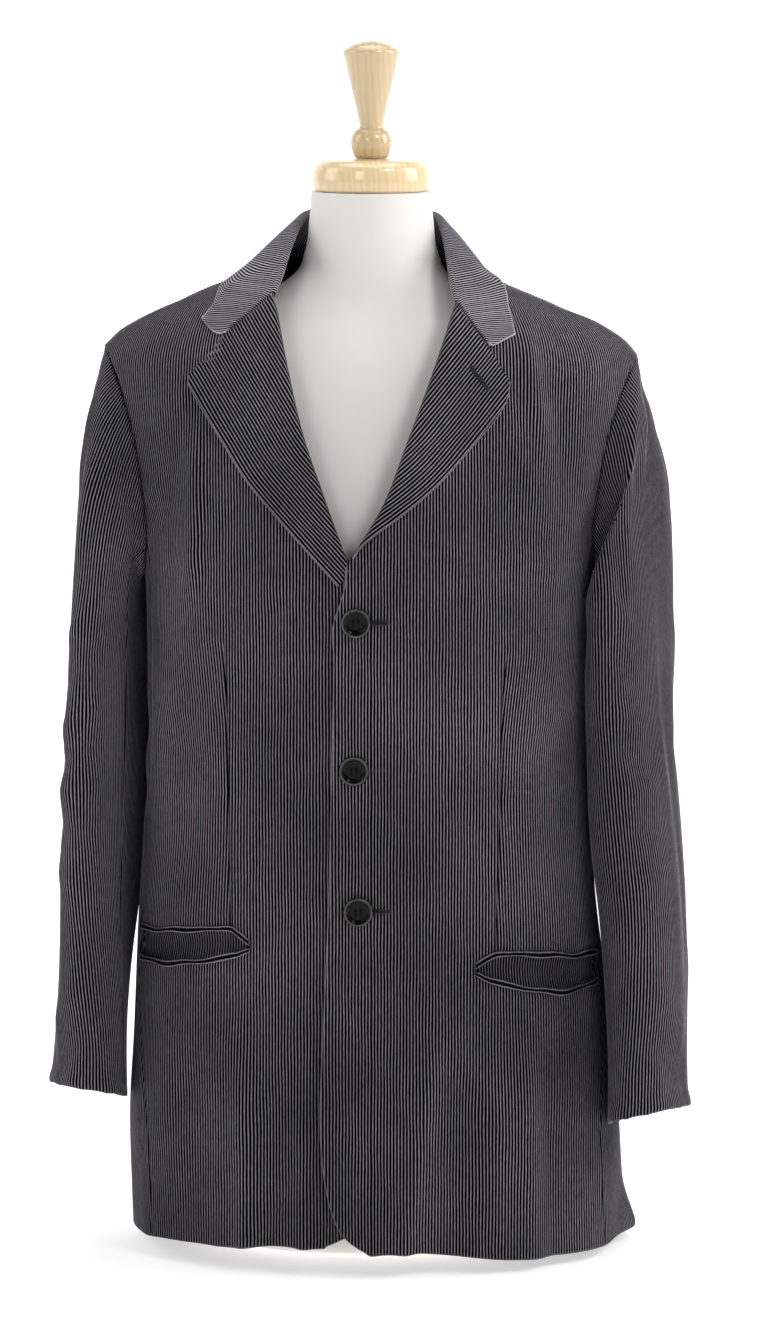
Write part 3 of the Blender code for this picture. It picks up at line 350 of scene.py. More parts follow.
def along(rows, m, sharp=0.0):
    """Spline the rings lengthwise into m levels, even along the outer edge."""
    k = len(rows)
    step = np.linalg.norm(np.diff(rows, axis=0), axis=2).mean(axis=1)
    t = np.concatenate([[0], np.cumsum(step)])
    tt = np.linspace(0, t[-1], m) if np.isscalar(m) else np.asarray(m) * t[-1]
    flat = rows.reshape(k, -1)
    h = np.diff(t)
    d = np.diff(flat, axis=0) / h[:, None]
    mm = np.empty_like(flat)
    mm[0], mm[-1] = d[0], d[-1]
    mm[1:-1] = (d[:-1] * h[1:, None] + d[1:] * h[:-1, None]) / (h[1:] + h[:-1])[:, None]
    i = np.clip(np.searchsorted(t, tt) - 1, 0, k - 2)
    u = ((tt - t[i]) / h[i])[:, None]
    hh = h[i][:, None]
    out = ((1 + 2 * u) * (1 - u) ** 2 * flat[i] + u * (1 - u) ** 2 * hh * mm[i]
           + u * u * (3 - 2 * u) * flat[i + 1] + u * u * (u - 1) * hh * mm[i + 1])
    return out.reshape(len(tt), rows.shape[1], 3), t[-1]


def grid_normals(p):
    a = np.gradient(p, axis=1)
    b = np.gradient(p, axis=0)
    n = np.cross(a, b)
    return n / np.maximum(np.linalg.norm(n, axis=-1, keepdims=True), 1e-9)


def lapel_frame(side):
    """Roll line and outer edge of a lapel in the front view, with its top row."""
    edge = np.array(EDGE_LEFT if side > 0 else EDGE_RIGHT, float)
    k0 = 16 if side > 0 else 12
    roll = edge[k0:-1]
    outer = np.array(LAPEL_EDGE_L if side > 0 else LAPEL_EDGE_R, float)
    gorge = np.array(GORGE_L if side > 0 else GORGE_R, float)
    return roll, outer, gorge


def run_along(pts, t):
    """Points at shares t of a smooth line's length."""
    pts = np.asarray(pts, float)
    a = np.concatenate([[0], np.cumsum(np.linalg.norm(np.diff(pts, axis=0), axis=1))])
    return np.stack([smooth(np.asarray(t) * a[-1], a, pts[:, k]) for k in range(2)], -1)


def lapel_flat(side, q, p):
    """Place in the front view: q from the break to the gorge, p from the roll to the outer edge."""
    roll, outer, gorge = lapel_frame(side)
    a, b = run_along(roll, q), run_along(outer, LAPEL_FOOT[side] + (1 - LAPEL_FOOT[side]) * (q - LAPEL_START) / (1 - LAPEL_START))
    top_a, top_b = roll[-1], outer[-1]
    la, lb = np.linalg.norm(gorge - top_a), np.linalg.norm(top_b - gorge)
    pg = la / (la + lb)
    pp = np.asarray(p)[..., None]
    top = np.where(pp < pg, top_a + (gorge - top_a) * pp / pg, gorge + (top_b - gorge) * (pp - pg) / (1 - pg))
    bend = top - (top_a + (top_b - top_a) * pp)
    return a + (b - a) * pp + bend * np.asarray(q)[..., None] ** 4


def roll_lift(d, full):
    """Height of a lapel over the cloth under it, d from the roll."""
    return LIE + (2 * NOSE - WALL - LIE) * full * np.exp(-(d / 17.0) ** 2)


def collar_end(side, p):
    """Front end of the collar in the front view: along the gorge, then out to the tip."""
    roll, outer, gorge = lapel_frame(side)
    tip = np.array(TIP_L if side > 0 else TIP_R)
    la, lb = np.linalg.norm(gorge - roll[-1]), np.linalg.norm(tip - gorge)
    pg = la / (la + lb)
    pp = np.asarray(p)[..., None]
    return np.where(pp < pg, roll[-1] + (gorge - roll[-1]) * pp / pg, gorge + (tip - gorge) * (pp - pg) / (1 - pg))


# ------------------------------------------------------------------ cloth, cut flat and brought to its form
PITCH = 2.7           # one wale
STEP = PITCH / 4
GRAIN = {}            # flat sizes and areas of the cut pieces


def wale(u):
    """Height of the pile over a wale."""
    return np.interp(np.mod(u / PITCH, 1.0), (0, 0.25, 0.5, 0.75, 1), (-0.55, 0.2, 0.42, 0.2, -0.55))


def trimmed(us, vs, keep):
    """A grid over the flat cloth, cut along the line where keep changes sign."""
    uu, vv = np.meshgrid(us, vs)
    f = keep(uu, vv)
    f = np.where(np.abs(f) < 1e-3, 1e-3, f)
    ins = f > 0
    num = np.full(f.shape, -1)
    count = int(ins.sum())
    num[ins] = np.arange(count)
    pu, pv = [uu[ins]], [vv[ins]]
    across = ins[:, :-1] != ins[:, 1:]
    up = ins[:-1] != ins[1:]
    na, nu = np.full(across.shape, -1), np.full(up.shape, -1)
    na[across] = count + np.arange(int(across.sum()))
    count += int(across.sum())
    nu[up] = count + np.arange(int(up.sum()))
    i, j = np.nonzero(across)
    t = f[i, j] / (f[i, j] - f[i, j + 1])
    pu.append(uu[i, j] + (uu[i, j + 1] - uu[i, j]) * t)
    pv.append(vv[i, j])
    i, j = np.nonzero(up)
    t = f[i, j] / (f[i, j] - f[i + 1, j])
    pu.append(uu[i, j])
    pv.append(vv[i, j] + (vv[i + 1, j] - vv[i, j]) * t)
    whole = ins[:-1, :-1] & ins[:-1, 1:] & ins[1:, 1:] & ins[1:, :-1]
    some = ins[:-1, :-1] | ins[:-1, 1:] | ins[1:, 1:] | ins[1:, :-1]
    i, j = np.nonzero(whole)
    faces = np.stack([num[i, j], num[i, j + 1], num[i + 1, j + 1], num[i + 1, j]], 1).tolist()
    for a, b in zip(*np.nonzero(some & ~whole)):
        loop = []
        for k, cut in ((num[a, b], na[a, b]), (num[a, b + 1], nu[a, b + 1]), (num[a + 1, b + 1], na[a + 1, b]), (num[a + 1, b], nu[a, b])):
            if k >= 0:
                loop.append(int(k))
            if cut >= 0:
                loop.append(int(cut))
        if len(loop) > 2:
            faces.append(loop)
    return np.concatenate(pu), np.concatenate(pv), faces


def point_normals(p, faces):
    n = np.zeros_like(p)
    for k in (3, 4, 5, 6):
        f = np.array([x for x in faces if len(x) == k], int).reshape(-1, k)
        if not len(f):
            continue
        a = np.cross(p[f[:, 2]] - p[f[:, 0]], p[f[:, 3 % k]] - p[f[:, 1]]) if k > 3 else np.cross(p[f[:, 1]] - p[f[:, 0]], p[f[:, 2]] - p[f[:, 0]])
        for c in range(k):
            for d in range(3):
                n[:, d] += np.bincount(f[:, c], a[:, d], len(p))
    return n / np.maximum(np.linalg.norm(n, axis=1, keepdims=True), 1e-9)


def free_edges(faces):
    seen = {}
    for f in faces:
        for a, b in zip(f, f[1:] + f[:1]):
            if (b, a) in seen:
                del seen[(b, a)]
            else:
                seen[(a, b)] = 1
    return list(seen)


def make(name, verts, faces, mat, nodes=(), cloth=None, smooth_shade=True, bead=None):
    me = bpy.data.meshes.new(name)
    v = np.array(verts, float)
    v[:, 2] -= FLOOR
    me.from_pydata((v / 1000.0).tolist(), [], faces)
    me.polygons.foreach_set("use_smooth", [smooth_shade] * len(me.polygons))
    if cloth is not None:
        at = me.attributes.new("cloth", "FLOAT_VECTOR", "POINT")
        at.data.foreach_set("vector", np.asarray(cloth, np.float32).ravel())
    if bead is not None:
        at = me.attributes.new("bead", "FLOAT", "POINT")
        at.data.foreach_set("value", np.asarray(bead, np.float32))
    me.materials.append(mat)
    me.update()
    ob = bpy.data.objects.new(name, me)
    bpy.context.scene.collection.objects.link(ob)
    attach(ob, "root")
    if nodes:
        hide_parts(*nodes)
    return ob


def panel(name, us, vs, keep, place, outward, mat, nodes=(), relief=1.0, soft=0.8, rim=1.8, phase=None, wander=0.3, lift=None, free=None):
    """One cut piece: flat grid, form, wales, rolled edge and the thickness shown at it; free gives the way to a turned
    edge, whose weight also carries a painted highlight in the material.
    """
    u, v, faces = trimmed(us, vs, keep)
    e = np.maximum(keep(u, v), 0.0)
    # the wales wander a little
    p = place(u + wander * (0.5 * np.sin(v / 13 + u / 7) + 0.45 * np.sin(v / 31 - u / 11 + 1) + 0.3 * np.sin(v / 7.3 + u / 4.1)) * ease(e / 7), v)
    n = point_normals(p, faces)
    if float((n * outward(p)).sum()) < 0:
        n = -n
        faces = [f[::-1] for f in faces]
    if lift is not None:
        p = p + n * lift(u, v, p)[:, None]
        n = point_normals(p, faces)
    w = u if phase is None else phase(u, v)
    # weight of the turned free edge: it flattens the pile here, and the material paints a highlight along it
    bead = np.zeros(len(u)) if free is None else np.exp(-(np.clip(free(u, v), 0, 99) / 1.5) ** 2)
    pile = relief * wale(w) * ease(0.25 + e / 1.6) - soft * (1 - np.clip(e / 2.4, 0, 1)) ** 2
    p = p + n * (pile * (1 - bead) + 0.25 * bead)[:, None]
    edge = free_edges(faces)
    ids = sorted({k for ab in edge for k in ab})
    at = {k: len(p) + i for i, k in enumerate(ids)}
    allp = np.concatenate([p, p[ids] - n[ids] * rim])
    allc = np.stack([w, v, e], 1)
    allc = np.concatenate([allc, allc[ids]])
    area = 0.0
    uv = np.stack([u, v], 1)
    for k in (3, 4, 5, 6):
        f = np.array([x for x in faces if len(x) == k], int).reshape(-1, k)
        if len(f):
            q = uv[f]
            r = np.roll(q, -1, axis=1)
            area += float(np.abs((q[..., 0] * r[..., 1] - q[..., 1] * r[..., 0]).sum(1)).sum() / 2)
    ob = make("cut_" + name, allp, faces + [(b, a, at[a], at[b]) for a, b in edge], mat, nodes, allc,
              bead=np.concatenate([bead, bead[ids]]))
    wide, long = float(np.ptp(u)), float(np.ptp(v))
    GRAIN[name] = (wide / 1000, long / 1000, min(area, wide * long) / 1e6)
    return ob


# ------------------------------------------------------------------ lengths along the coat's levels
V_ROWS = np.arange(8.0, 880.1, 4.0)
S_COLS = np.arange(-420.0, 420.1, 1.5)


def level_tables(centre):
    phi = centre + np.linspace(-2.2, 2.2, 1001)
    arcs, back = [], []
    for v in V_ROWS:
        p = body(phi, v)
        a = np.concatenate([[0], np.cumsum(np.linalg.norm(np.diff(p, axis=0), axis=1))])
        a -= a[500]
        arcs.append(a)
        back.append(np.interp(S_COLS, a, phi))
    return phi, np.array(arcs), np.array(back)


PHI_F, ARC_F, TURN_F = level_tables(0.0)
PHI_B, ARC_B, TURN_B = level_tables(math.pi)


def look(table, s, v):
    a = np.clip((v - V_ROWS[0]) / 4.0, 0, len(V_ROWS) - 1.001)
    b = np.clip((s - S_COLS[0]) / 1.5, 0, len(S_COLS) - 1.001)
    i, j = a.astype(int), b.astype(int)
    a, b = a - i, b - j
    return ((table[i, j] * (1 - b) + table[i, j + 1] * b) * (1 - a) + (table[i + 1, j] * (1 - b) + table[i + 1, j + 1] * b) * a)


def level_arc(phis, front=True):
    """Length along each level up to an angle given for each."""
    return np.array([np.interp(ph, PHI_F if front else PHI_B, (ARC_F if front else ARC_B)[k]) for k, ph in enumerate(phis)])


def at_run(values, v):
    return np.interp(v, V_ROWS, values)


def ripple(x, z, y=0.0):
    """The slight unevenness of hung cloth."""
    return (0.45 * np.sin(x / 21 + z / 57 + 0.4) + 0.4 * np.sin(z / 33 - x / 47 + y / 40) + 0.3 * np.sin(x / 11.5 + z / 90 + y / 25 + 1.1)
            + 0.35 * np.sin(z / 71 + x / 29 + y / 19 + 2.0))


def around(p):
    q = p.copy()
    q[:, 2] = 0
    q[:, 1] -= 5
    return q


# creases in the fronts: x and z of both ends, half width, rise
CREASES_FRONT = (
    (55, 218, 27, 26, 7, 4.0), (66, 205, 40, 26, 7, -2.4), (-58, 168, -58, 26, 6, 3.2), (-68, 160, -68, 26, 7, -2.0), (-112, 215, -108, 26, 8, 2.4),
    (-122, 210, -120, 26, 8, -2.0), (130, 190, 138, 26, 9, 2.6), (146, 200, 154, 26, 8, -2.4), (126, 818, 148, 720, 8, 3.0), (138, 805, 158, 690, 7, -2.4),
    (-146, 735, -152, 590, 8, 2.8), (-136, 735, -142, 590, 7, -2.2), (-120, 812, -170, 740, 9, 2.0), (104, 770, 150, 640, 10, 1.8),
    (-34, 573, -92, 606, 6, 1.3), (-36, 566, -100, 575, 7, -1.0), (12, 566, 70, 548, 7, 1.1), (14, 575, 80, 588, 8, -0.9),
    (-40, 448, -110, 470, 8, 1.2), (-38, 440, -95, 425, 7, -1.0), (12, 447, 84, 462, 8, 1.1), (10, 438, 70, 415, 8, -0.9),
    (-38, 330, -100, 352, 9, 1.0), (14, 326, 80, 345, 9, 0.9), (-128, 470, -186, 505, 8, 1.6), (-130, 446, -188, 462, 7, -1.4),
    (-126, 420, -186, 418, 9, 1.3), (122, 468, 184, 500, 8, 1.6), (120, 446, 184, 452, 8, -1.4), (118, 420, 184, 408, 9, 1.2),
    (-176, 690, -196, 655, 6, 2.2), (-166, 662, -192, 630, 6, -1.6), (176, 690, 198, 648, 6, 2.2), (166, 665, 192, 622, 6, -1.6),
    (-120, 640, -176, 600, 9, 1.3), (100, 640, 172, 596, 9, 1.3), (60, 600, 120, 570, 12, 0.9), (-70, 610, -120, 570, 12, 0.9),
    (16, 250, -8, 130, 9, 1.0), (-100, 262, -88, 150, 9, -1.1), (130, 240, 140, 120, 10, 1.3), (-172, 250, -180, 110, 10, 1.6))

DART = {1: ((540, 114, 0), (517, 110.5, 2.4), (470, 109, 7.5), (417, 108.5, 10), (364, 107, 8), (306, 105, 5.5), (286, 104.6, 5), (262, 104.2, 0)),
        -1: ((552, 124, 0), (530, 122.5, 2.4), (480, 121, 7), (423, 119.5, 9.5), (365, 119, 8), (318, 118.6, 5.5), (304, 118.5, 5), (283, 118.3, 0))}


def lens(x, z, side):
    """How far a place is outside a pocket mouth."""
    tab = MOUTH_LEFT if side > 0 else MOUTH_RIGHT
    ax = np.abs(x)
    xs = [abs(r[0]) for r in tab]
    up, low = smooth(ax, xs, col(tab, 1)), smooth(ax, xs, col(tab, 2))
    return np.maximum(np.maximum(z - up, low - z), np.maximum(xs[0] - ax, ax - xs[-1] - 0.4))


def front_piece(name, side):
    inner = side * level_arc([float(front_edge(v, side)) for v in V_ROWS])
    outer = side * level_arc([side * float(outer_angle(v, 1)) for v in V_ROWS])
    line = outer.copy()
    outer = outer + (9.0 - 3.0 * ease((V_ROWS - 735) / 30)) * ease((V_ROWS - MEET_F) / 6)
    recess = 5.0 * ease((V_ROWS - (632 if side > 0 else 618)) / 14)
    rows = DART[side]
    dz, dx, dg = np.array(rows[::-1], float).T
    ph, vv = find(side * dx, dz)
    dart_s = np.array([side * np.interp(p, PHI_F, ARC_F[int((v - 8) / 4)]) for p, v in zip(ph, vv)])

    def dart(v):
        g = np.interp(v, dz, dg, left=0, right=0)
        return np.interp(v, dz, dart_s), g

    def flat_s(u, v):
        s0, g = dart(v)
        u = u - 34 * ease((v - 765) / 115) * ease((u - 60) / 110)
        return np.where(u > s0 + g / 2, u - g, u) - np.where((u > s0 - 0.01) & (u < s0 + g / 2), u - s0, 0) * (g > 0) \
            + np.where((u >= s0 + g / 2) & (u < s0 + g), s0 + g - u, 0)

    def keep(u, v):
        s0, g = dart(v)
        s = flat_s(u, v)
        phi = look(TURN_F, side * s, v)
        b = body(phi, v)
        out = np.minimum(s - at_run(inner + recess, v), at_run(outer, v) + 0.1 - s)
        out = np.minimum(out, v - hem_v(phi, side))
        out = np.minimum(out, 879.8 - v)
        out = np.minimum(out, lens(b[..., 0], b[..., 2], side))
        slit = np.where((g > 0.4) & (v > (285 if side > 0 else 305)), np.abs(u - s0 - g / 2) - g / 2, 99.0)
        return np.minimum(out, slit)

    def place(u, v):
        phi = look(TURN_F, side * flat_s(u, v), v)
        p, n = front_at(phi, v, side)
        x, z = p[:, 0], p[:, 2]
        d = folds(x, z, CREASES_FRONT) + ripple(x, z)
        # the cloth gives way round the gaping pocket
        le = lens(x, z, side)
        d = d * ease((outer_angle(v, 1) - np.abs(phi)) / 0.1) - 1.2 * np.exp(-(np.clip(le, 0, 99) / 6) ** 2) * (np.abs(x) > 92)
        # past the armhole the allowance is turned into the sleeve
        s = flat_s(u, v)
        d = d - np.clip(s - at_run(line, v), 0, 10) * (-0.3 + 1.5 * ease((v - 725) / 60)) * ease((v - MEET_F) / 6)
        if side > 0:
            d = d + 2.6 * np.exp(-((s - at_run(inner, v)) / 10) ** 2) * ease((620 - v) / 30)
        return p + n * d[:, None]

    def free(u, v):
        s = flat_s(u, v)
        return np.minimum(np.where(v < 618, s - at_run(inner, v), 99.0), v - hem_v(look(TURN_F, side * s, v), side))
    us = np.arange(math.floor((inner.min() - 4) / PITCH) * PITCH, outer.max() + 40, STEP)
    vs = np.concatenate([np.arange(18, 60, 4.0), np.arange(60, 244, 8.0), np.arange(244, 312, 2.5), np.arange(312, 640, 8.0), np.arange(640, 880.1, 6.0)])
    return panel(name, us, vs, keep, place, around, CORD, (name,), free=free)


def side_piece(name, side):
    low = level_arc([side * float(smooth(v, col(SIDE_SEAMS, 0), col(SIDE_SEAMS, 1))) * math.pi / 180 for v in V_ROWS]) * side
    high = level_arc([side * float(smooth(v, col(SIDE_SEAMS, 0), col(SIDE_SEAMS, 2))) * math.pi / 180 for v in V_ROWS]) * side
    mid = side * level_arc([side * math.pi * 0.53] * len(V_ROWS))
    angs = np.radians(np.linspace(60, 125, 80))
    tops = armhole_floor(angs)

    def s_of(u, v):
        return u + at_run(mid, v) + (v - 330) * 0.02

    def keep(u, v):
        s = s_of(u, v)
        phi = look(TURN_F, side * s, v)
        out = np.minimum(s - at_run(low, v) + 0.1, at_run(high, v) + 0.1 - s)
        out = np.minimum(out, v - hem_v(phi))
        return np.minimum(out, np.interp(np.abs(phi), angs, tops) + 10.0 - v)

    def place(u, v):
        phi = look(TURN_F, side * s_of(u, v), v)
        p, n = body(phi, v), normal(phi, v)
        calm = ease((np.abs(phi) - np.interp(v, V_ROWS, [float(smooth(k, col(SIDE_SEAMS, 0), col(SIDE_SEAMS, 1))) for k in V_ROWS]) * math.pi / 180) / 0.1)
        calm = calm * ease((np.interp(v, V_ROWS, [float(smooth(k, col(SIDE_SEAMS, 0), col(SIDE_SEAMS, 2))) for k in V_ROWS]) * math.pi / 180 - np.abs(phi)) / 0.1)
        wave = 2.6 * np.sin(p[:, 1] / 16 + 0.6) * ease((230 - v) / 190)
        waist = 1.4 * np.sin(v / 9.5 + p[:, 1] / 30) * np.exp(-((v - 440) / 50) ** 2)
        turned = np.clip(v - np.interp(np.abs(phi), angs, tops), 0, 11)
        if side > 0:
            wave = wave + 11.0 * np.exp(-((p[:, 1] - 6) / 26) ** 2) * ease((74 - v) / 58) ** 1.3
        return p + n * ((ripple(p[:, 0], p[:, 2], p[:, 1]) + wave + waist) * calm - (0.45 - 0.6 * ease((-4 - p[:, 1]) / 24)) * turned)[:, None]
    us = np.arange(-40 * PITCH, 40 * PITCH, STEP)
    vs = np.concatenate([np.arange(14, 50, 4.0), np.arange(50, 580, 8.0), np.arange(580, 646, 3.0)])
    return panel(name, us, vs, keep, place, around, CORD, (name,))


# creases in the back: distance from the centre and run of both ends, half width, rise
CREASES_BACK = (
    (20, 430, 120, 480, 12, 1.8), (30, 400, 140, 420, 12, -1.6), (10, 370, 110, 360, 14, 1.5), (60, 520, 160, 600, 14, 1.6),
    (90, 700, 150, 620, 10, 2.2), (120, 740, 165, 640, 9, -1.8), (70, 760, 130, 690, 14, 1.4), (44, 200, 40, 20, 16, 3.6),
    (84, 180, 88, 20, 17, -3.2), (126, 210, 134, 20, 18, 3.4), (160, 160, 166, 20, 14, -2.6), (20, 800, 90, 780, 10, 1.3), (12, 560, 24, 330, 14, 0.9))


def back_piece(name, side):
    ext = -side * level_arc([math.pi - side * (math.pi - float(outer_angle(v, 2))) for v in V_ROWS], False)
    line = ext.copy()
    ext = ext + 6.0 * ease((V_ROWS - MEET_B) / 6)
    top_drop = Z_CHEST + TOP_RUN - 0.4 - float(find(np.array(0.001), np.array(868.5), back=True)[1])
    half = {1: 76.0, -1: 79.0}[side]

    def turn(u, v):
        phi = look(TURN_B, -side * u, v)
        return np.where(phi > math.pi, phi - 2 * math.pi, phi)

    def keep(u, v):
        phi = turn(u, v)
        out = np.minimum(u + 0.1, at_run(ext, v) + 0.1 - u)
        out = np.minimum(out, v - hem_v(phi))
        return np.minimum(out, 879.8 - top_drop * (1 - np.clip(u / half, 0, 1) ** 2) - v)

    def place(u, v):
        phi = turn(u, v)
        p, n = body(phi, v), normal(phi, v)
        d = folds(u, v, CREASES_BACK) + ripple(p[:, 0], p[:, 2], 90.0)
        d = d * ease(u / 10) * ease((at_run(ext, v) - u) / 12) - np.clip(u - at_run(line, v), 0, 8) * (-0.25 + 1.45 * ease((v - 725) / 60)) * ease((v - MEET_B) / 6)
        return p + n * d[:, None]
    us = np.arange(-PITCH, ext.max() + 4, STEP)
    vs = np.concatenate([np.arange(10, 50, 4.0), np.arange(50, 640, 9.0), np.arange(640, 880.1, 6.0)])
    return panel(name, us, vs, keep, place, around, CORD, (name,))


# ------------------------------------------------------------------ sleeves
# creases: mm round from the top line (+ to the front) and height at both ends, half width, rise
CREASES_SLEEVE = (
    (16, 768, 26, 700, 6, -1.6), (34, 752, 42, 672, 7, 1.7), (52, 726, 57, 650, 7, -1.8), (70, 700, 72, 610, 8, 2.0), (84, 660, 86, 560, 8, -2.0),
    (-20, 764, -30, 690, 7, -1.4), (-44, 740, -52, 650, 8, 1.5), (-66, 700, -72, 600, 8, -1.5), (100, 590, 62, 540, 8, 2.4), (108, 548, 58, 500, 8, -2.2),
    (112, 500, 52, 462, 9, 2.6), (112, 462, 46, 434, 8, -2.4), (112, 428, 40, 412, 10, 2.4), (110, 380, 36, 388, 9, -2.0), (104, 330, 30, 352, 11, 1.8),
    (36, 600, 26, 390, 13, 1.6), (4, 470, 8, 250, 12, -1.6), (-40, 560, -72, 470, 11, 1.8), (-30, 450, -80, 400, 10, -1.8), (-44, 390, -84, 310, 11, 1.6),
    (78, 260, 12, 205, 11, 2.2), (82, 212, 16, 168, 9, -2.0), (60, 190, 58, 120, 8, 1.8), (20, 200, 14, 125, 10, -1.4), (-14, 280, -60, 190, 11, 1.5))
Z_LEVELS = np.arange(96.0, 796.1, 4.0)
U_MARKS = np.arange(-330.0, 330.1, 1.5)


def sleeve_levels(side, under):
    """The sleeve cut by level planes: points, seam and cuff heights, place round for each length."""
    full, _ = along(sleeve_rows(side, 161, 0.5), 261)
    if not under:
        full = np.concatenate([full[:, 160:320], full[:, :161]], axis=1)
    tt = np.linspace(0, 1, len(full))
    z, run = full[:, :, 2].copy(), np.linalg.norm(np.diff(full, axis=0), axis=2)
    for i in range(1, len(z)):      # a sleeve head may rise before it falls
        z[i] = np.minimum(z[i], z[i - 1] - 0.3 * run[i - 1] - 1e-4)
    q = np.empty((len(Z_LEVELS), full.shape[1], 3))
    for j in range(full.shape[1]):
        t = np.interp(Z_LEVELS, z[::-1, j], tt[::-1])
        for c in range(3):
            q[:, j, c] = np.interp(t, tt, full[:, j, c])
    f = np.linspace(-1, 1, full.shape[1])
    back, arcs = [], []
    for k in range(len(Z_LEVELS)):
        a = np.concatenate([[0], np.cumsum(np.linalg.norm(np.diff(q[k], axis=0), axis=1) + 1e-5)])
        a -= a[160]
        arcs.append(a)
        back.append(np.interp(U_MARKS, a, f))
    return q, f, z[0], z[-1], np.array(back), np.array(arcs)


def sleeve_piece(word, side, under):
    q, f, top, low, back, arcs = sleeve_levels(side, under)
    mids = q.mean(axis=1)

    def place_of(u, v):
        a = np.clip((v - Z_LEVELS[0]) / 4.0, 0, len(Z_LEVELS) - 1.001)
        b = np.clip((u - U_MARKS[0]) / 1.5, 0, len(U_MARKS) - 1.001)
        i, j = a.astype(int), b.astype(int)
        a, b = a - i, b - j
        return (back[i, j] * (1 - b) + back[i, j + 1] * b) * (1 - a) + (back[i + 1, j] * (1 - b) + back[i + 1, j + 1] * b) * a

    def keep(u, v):
        g = place_of(u, v)
        if under:   # g runs from the front seam to the back one
            out = np.minimum(g + 1 - SEAM_FRONT, 1 - SEAM_BACK - g) * 190 + 0.1
        else:
            out = np.minimum(SEAM_FRONT - g, g + SEAM_BACK) * 190 + 0.1
        return np.minimum(out, np.minimum(np.interp(g, f, top) - v, v - np.interp(g, f, low)))

    def place(u, v):
        g = place_of(u, v)
        a = np.clip((v - Z_LEVELS[0]) / 4.0, 0, len(Z_LEVELS) - 1.001)
        b = np.clip((g + 1) / 2 * (len(f) - 1), 0, len(f) - 1.001)
        i, j = a.astype(int), b.astype(int)
        a, b = (a - i)[:, None], (b - j)[:, None]
        return (q[i, j] * (1 - b) + q[i, j + 1] * b) * (1 - a) + (q[i + 1, j] * (1 - b) + q[i + 1, j + 1] * b) * a

    def lift(u, v, p):
        g = place_of(u, v)
        r = np.where(g < 0, 190 + u, -(190 - u)) if under else u
        d, hang = 0.9 * folds(r, v, CREASES_SLEEVE), 0.9 * ripple(p[:, 0] * 1.7, p[:, 2], p[:, 1])
        near = np.minimum(np.interp(g, f, top) - v, (v - np.interp(g, f, low)) * 1.5 + 8)
        seam = (np.minimum(g + 1 - SEAM_FRONT, 1 - SEAM_BACK - g) if under else np.minimum(SEAM_FRONT - g, g + SEAM_BACK)) * 190
        # the head is eased in, so it swells just past the seam
        return (d * ease(seam / 14) + hang) * ease(near / 22) + (0 if under else 2.2 * np.exp(-((near - 14) / 11) ** 2) * ease(near / 10) * ease(seam / 18))

    def out_of(p):
        m = np.stack([np.interp(p[:, 2], Z_LEVELS, mids[:, c]) for c in range(3)], 1)
        d = p - m
        d[:, 2] = 0
        return d
    vs = np.concatenate([np.arange(100, 170, 3.5), np.arange(170, 560, 8.0), np.arange(560, 792, 2.5)])
    us = np.arange(-60 * PITCH, 72 * PITCH, STEP) if not under else np.arange(-70 * PITCH, 70 * PITCH, STEP)
    name = ("sleeve_under_" if under else "sleeve_top_") + word
    
    def free(u, v):
        return v - np.interp(place_of(u, v), f, low)
    return panel(name, us, vs, keep, place, out_of, CORD, (name,), soft=0.8, rim=3.0, lift=lift, free=free)


# ------------------------------------------------------------------ lapels
def segments(line, q):
    """Nearest place on a line of points: distance squared, foot, direction."""
    a, b = line[:-1], line[1:]
    d = b - a
    t = np.clip(((q[:, None] - a) * d).sum(-1) / (d * d).sum(-1), 0, 1)
    foot = a + d * t[..., None]
    dist = ((q[:, None] - foot) ** 2).sum(-1)
    k = dist.argmin(1)
    i = np.arange(len(q))
    return np.sqrt(dist[i, k]), foot[i, k], d[k] / np.linalg.norm(d[k], axis=1, keepdims=True), (k + t[i, k])


def inside(poly, q):
    a, b = poly, np.roll(poly, -1, axis=0)
    hit = np.zeros(len(q), bool)
    for (x0, z0), (x1, z1) in zip(a, b):
        if z0 != z1:
            hit ^= ((z0 > q[:, 1]) != (z1 > q[:, 1])) & (q[:, 0] < (x1 - x0) * (q[:, 1] - z0) / (z1 - z0) + x0)
    return hit


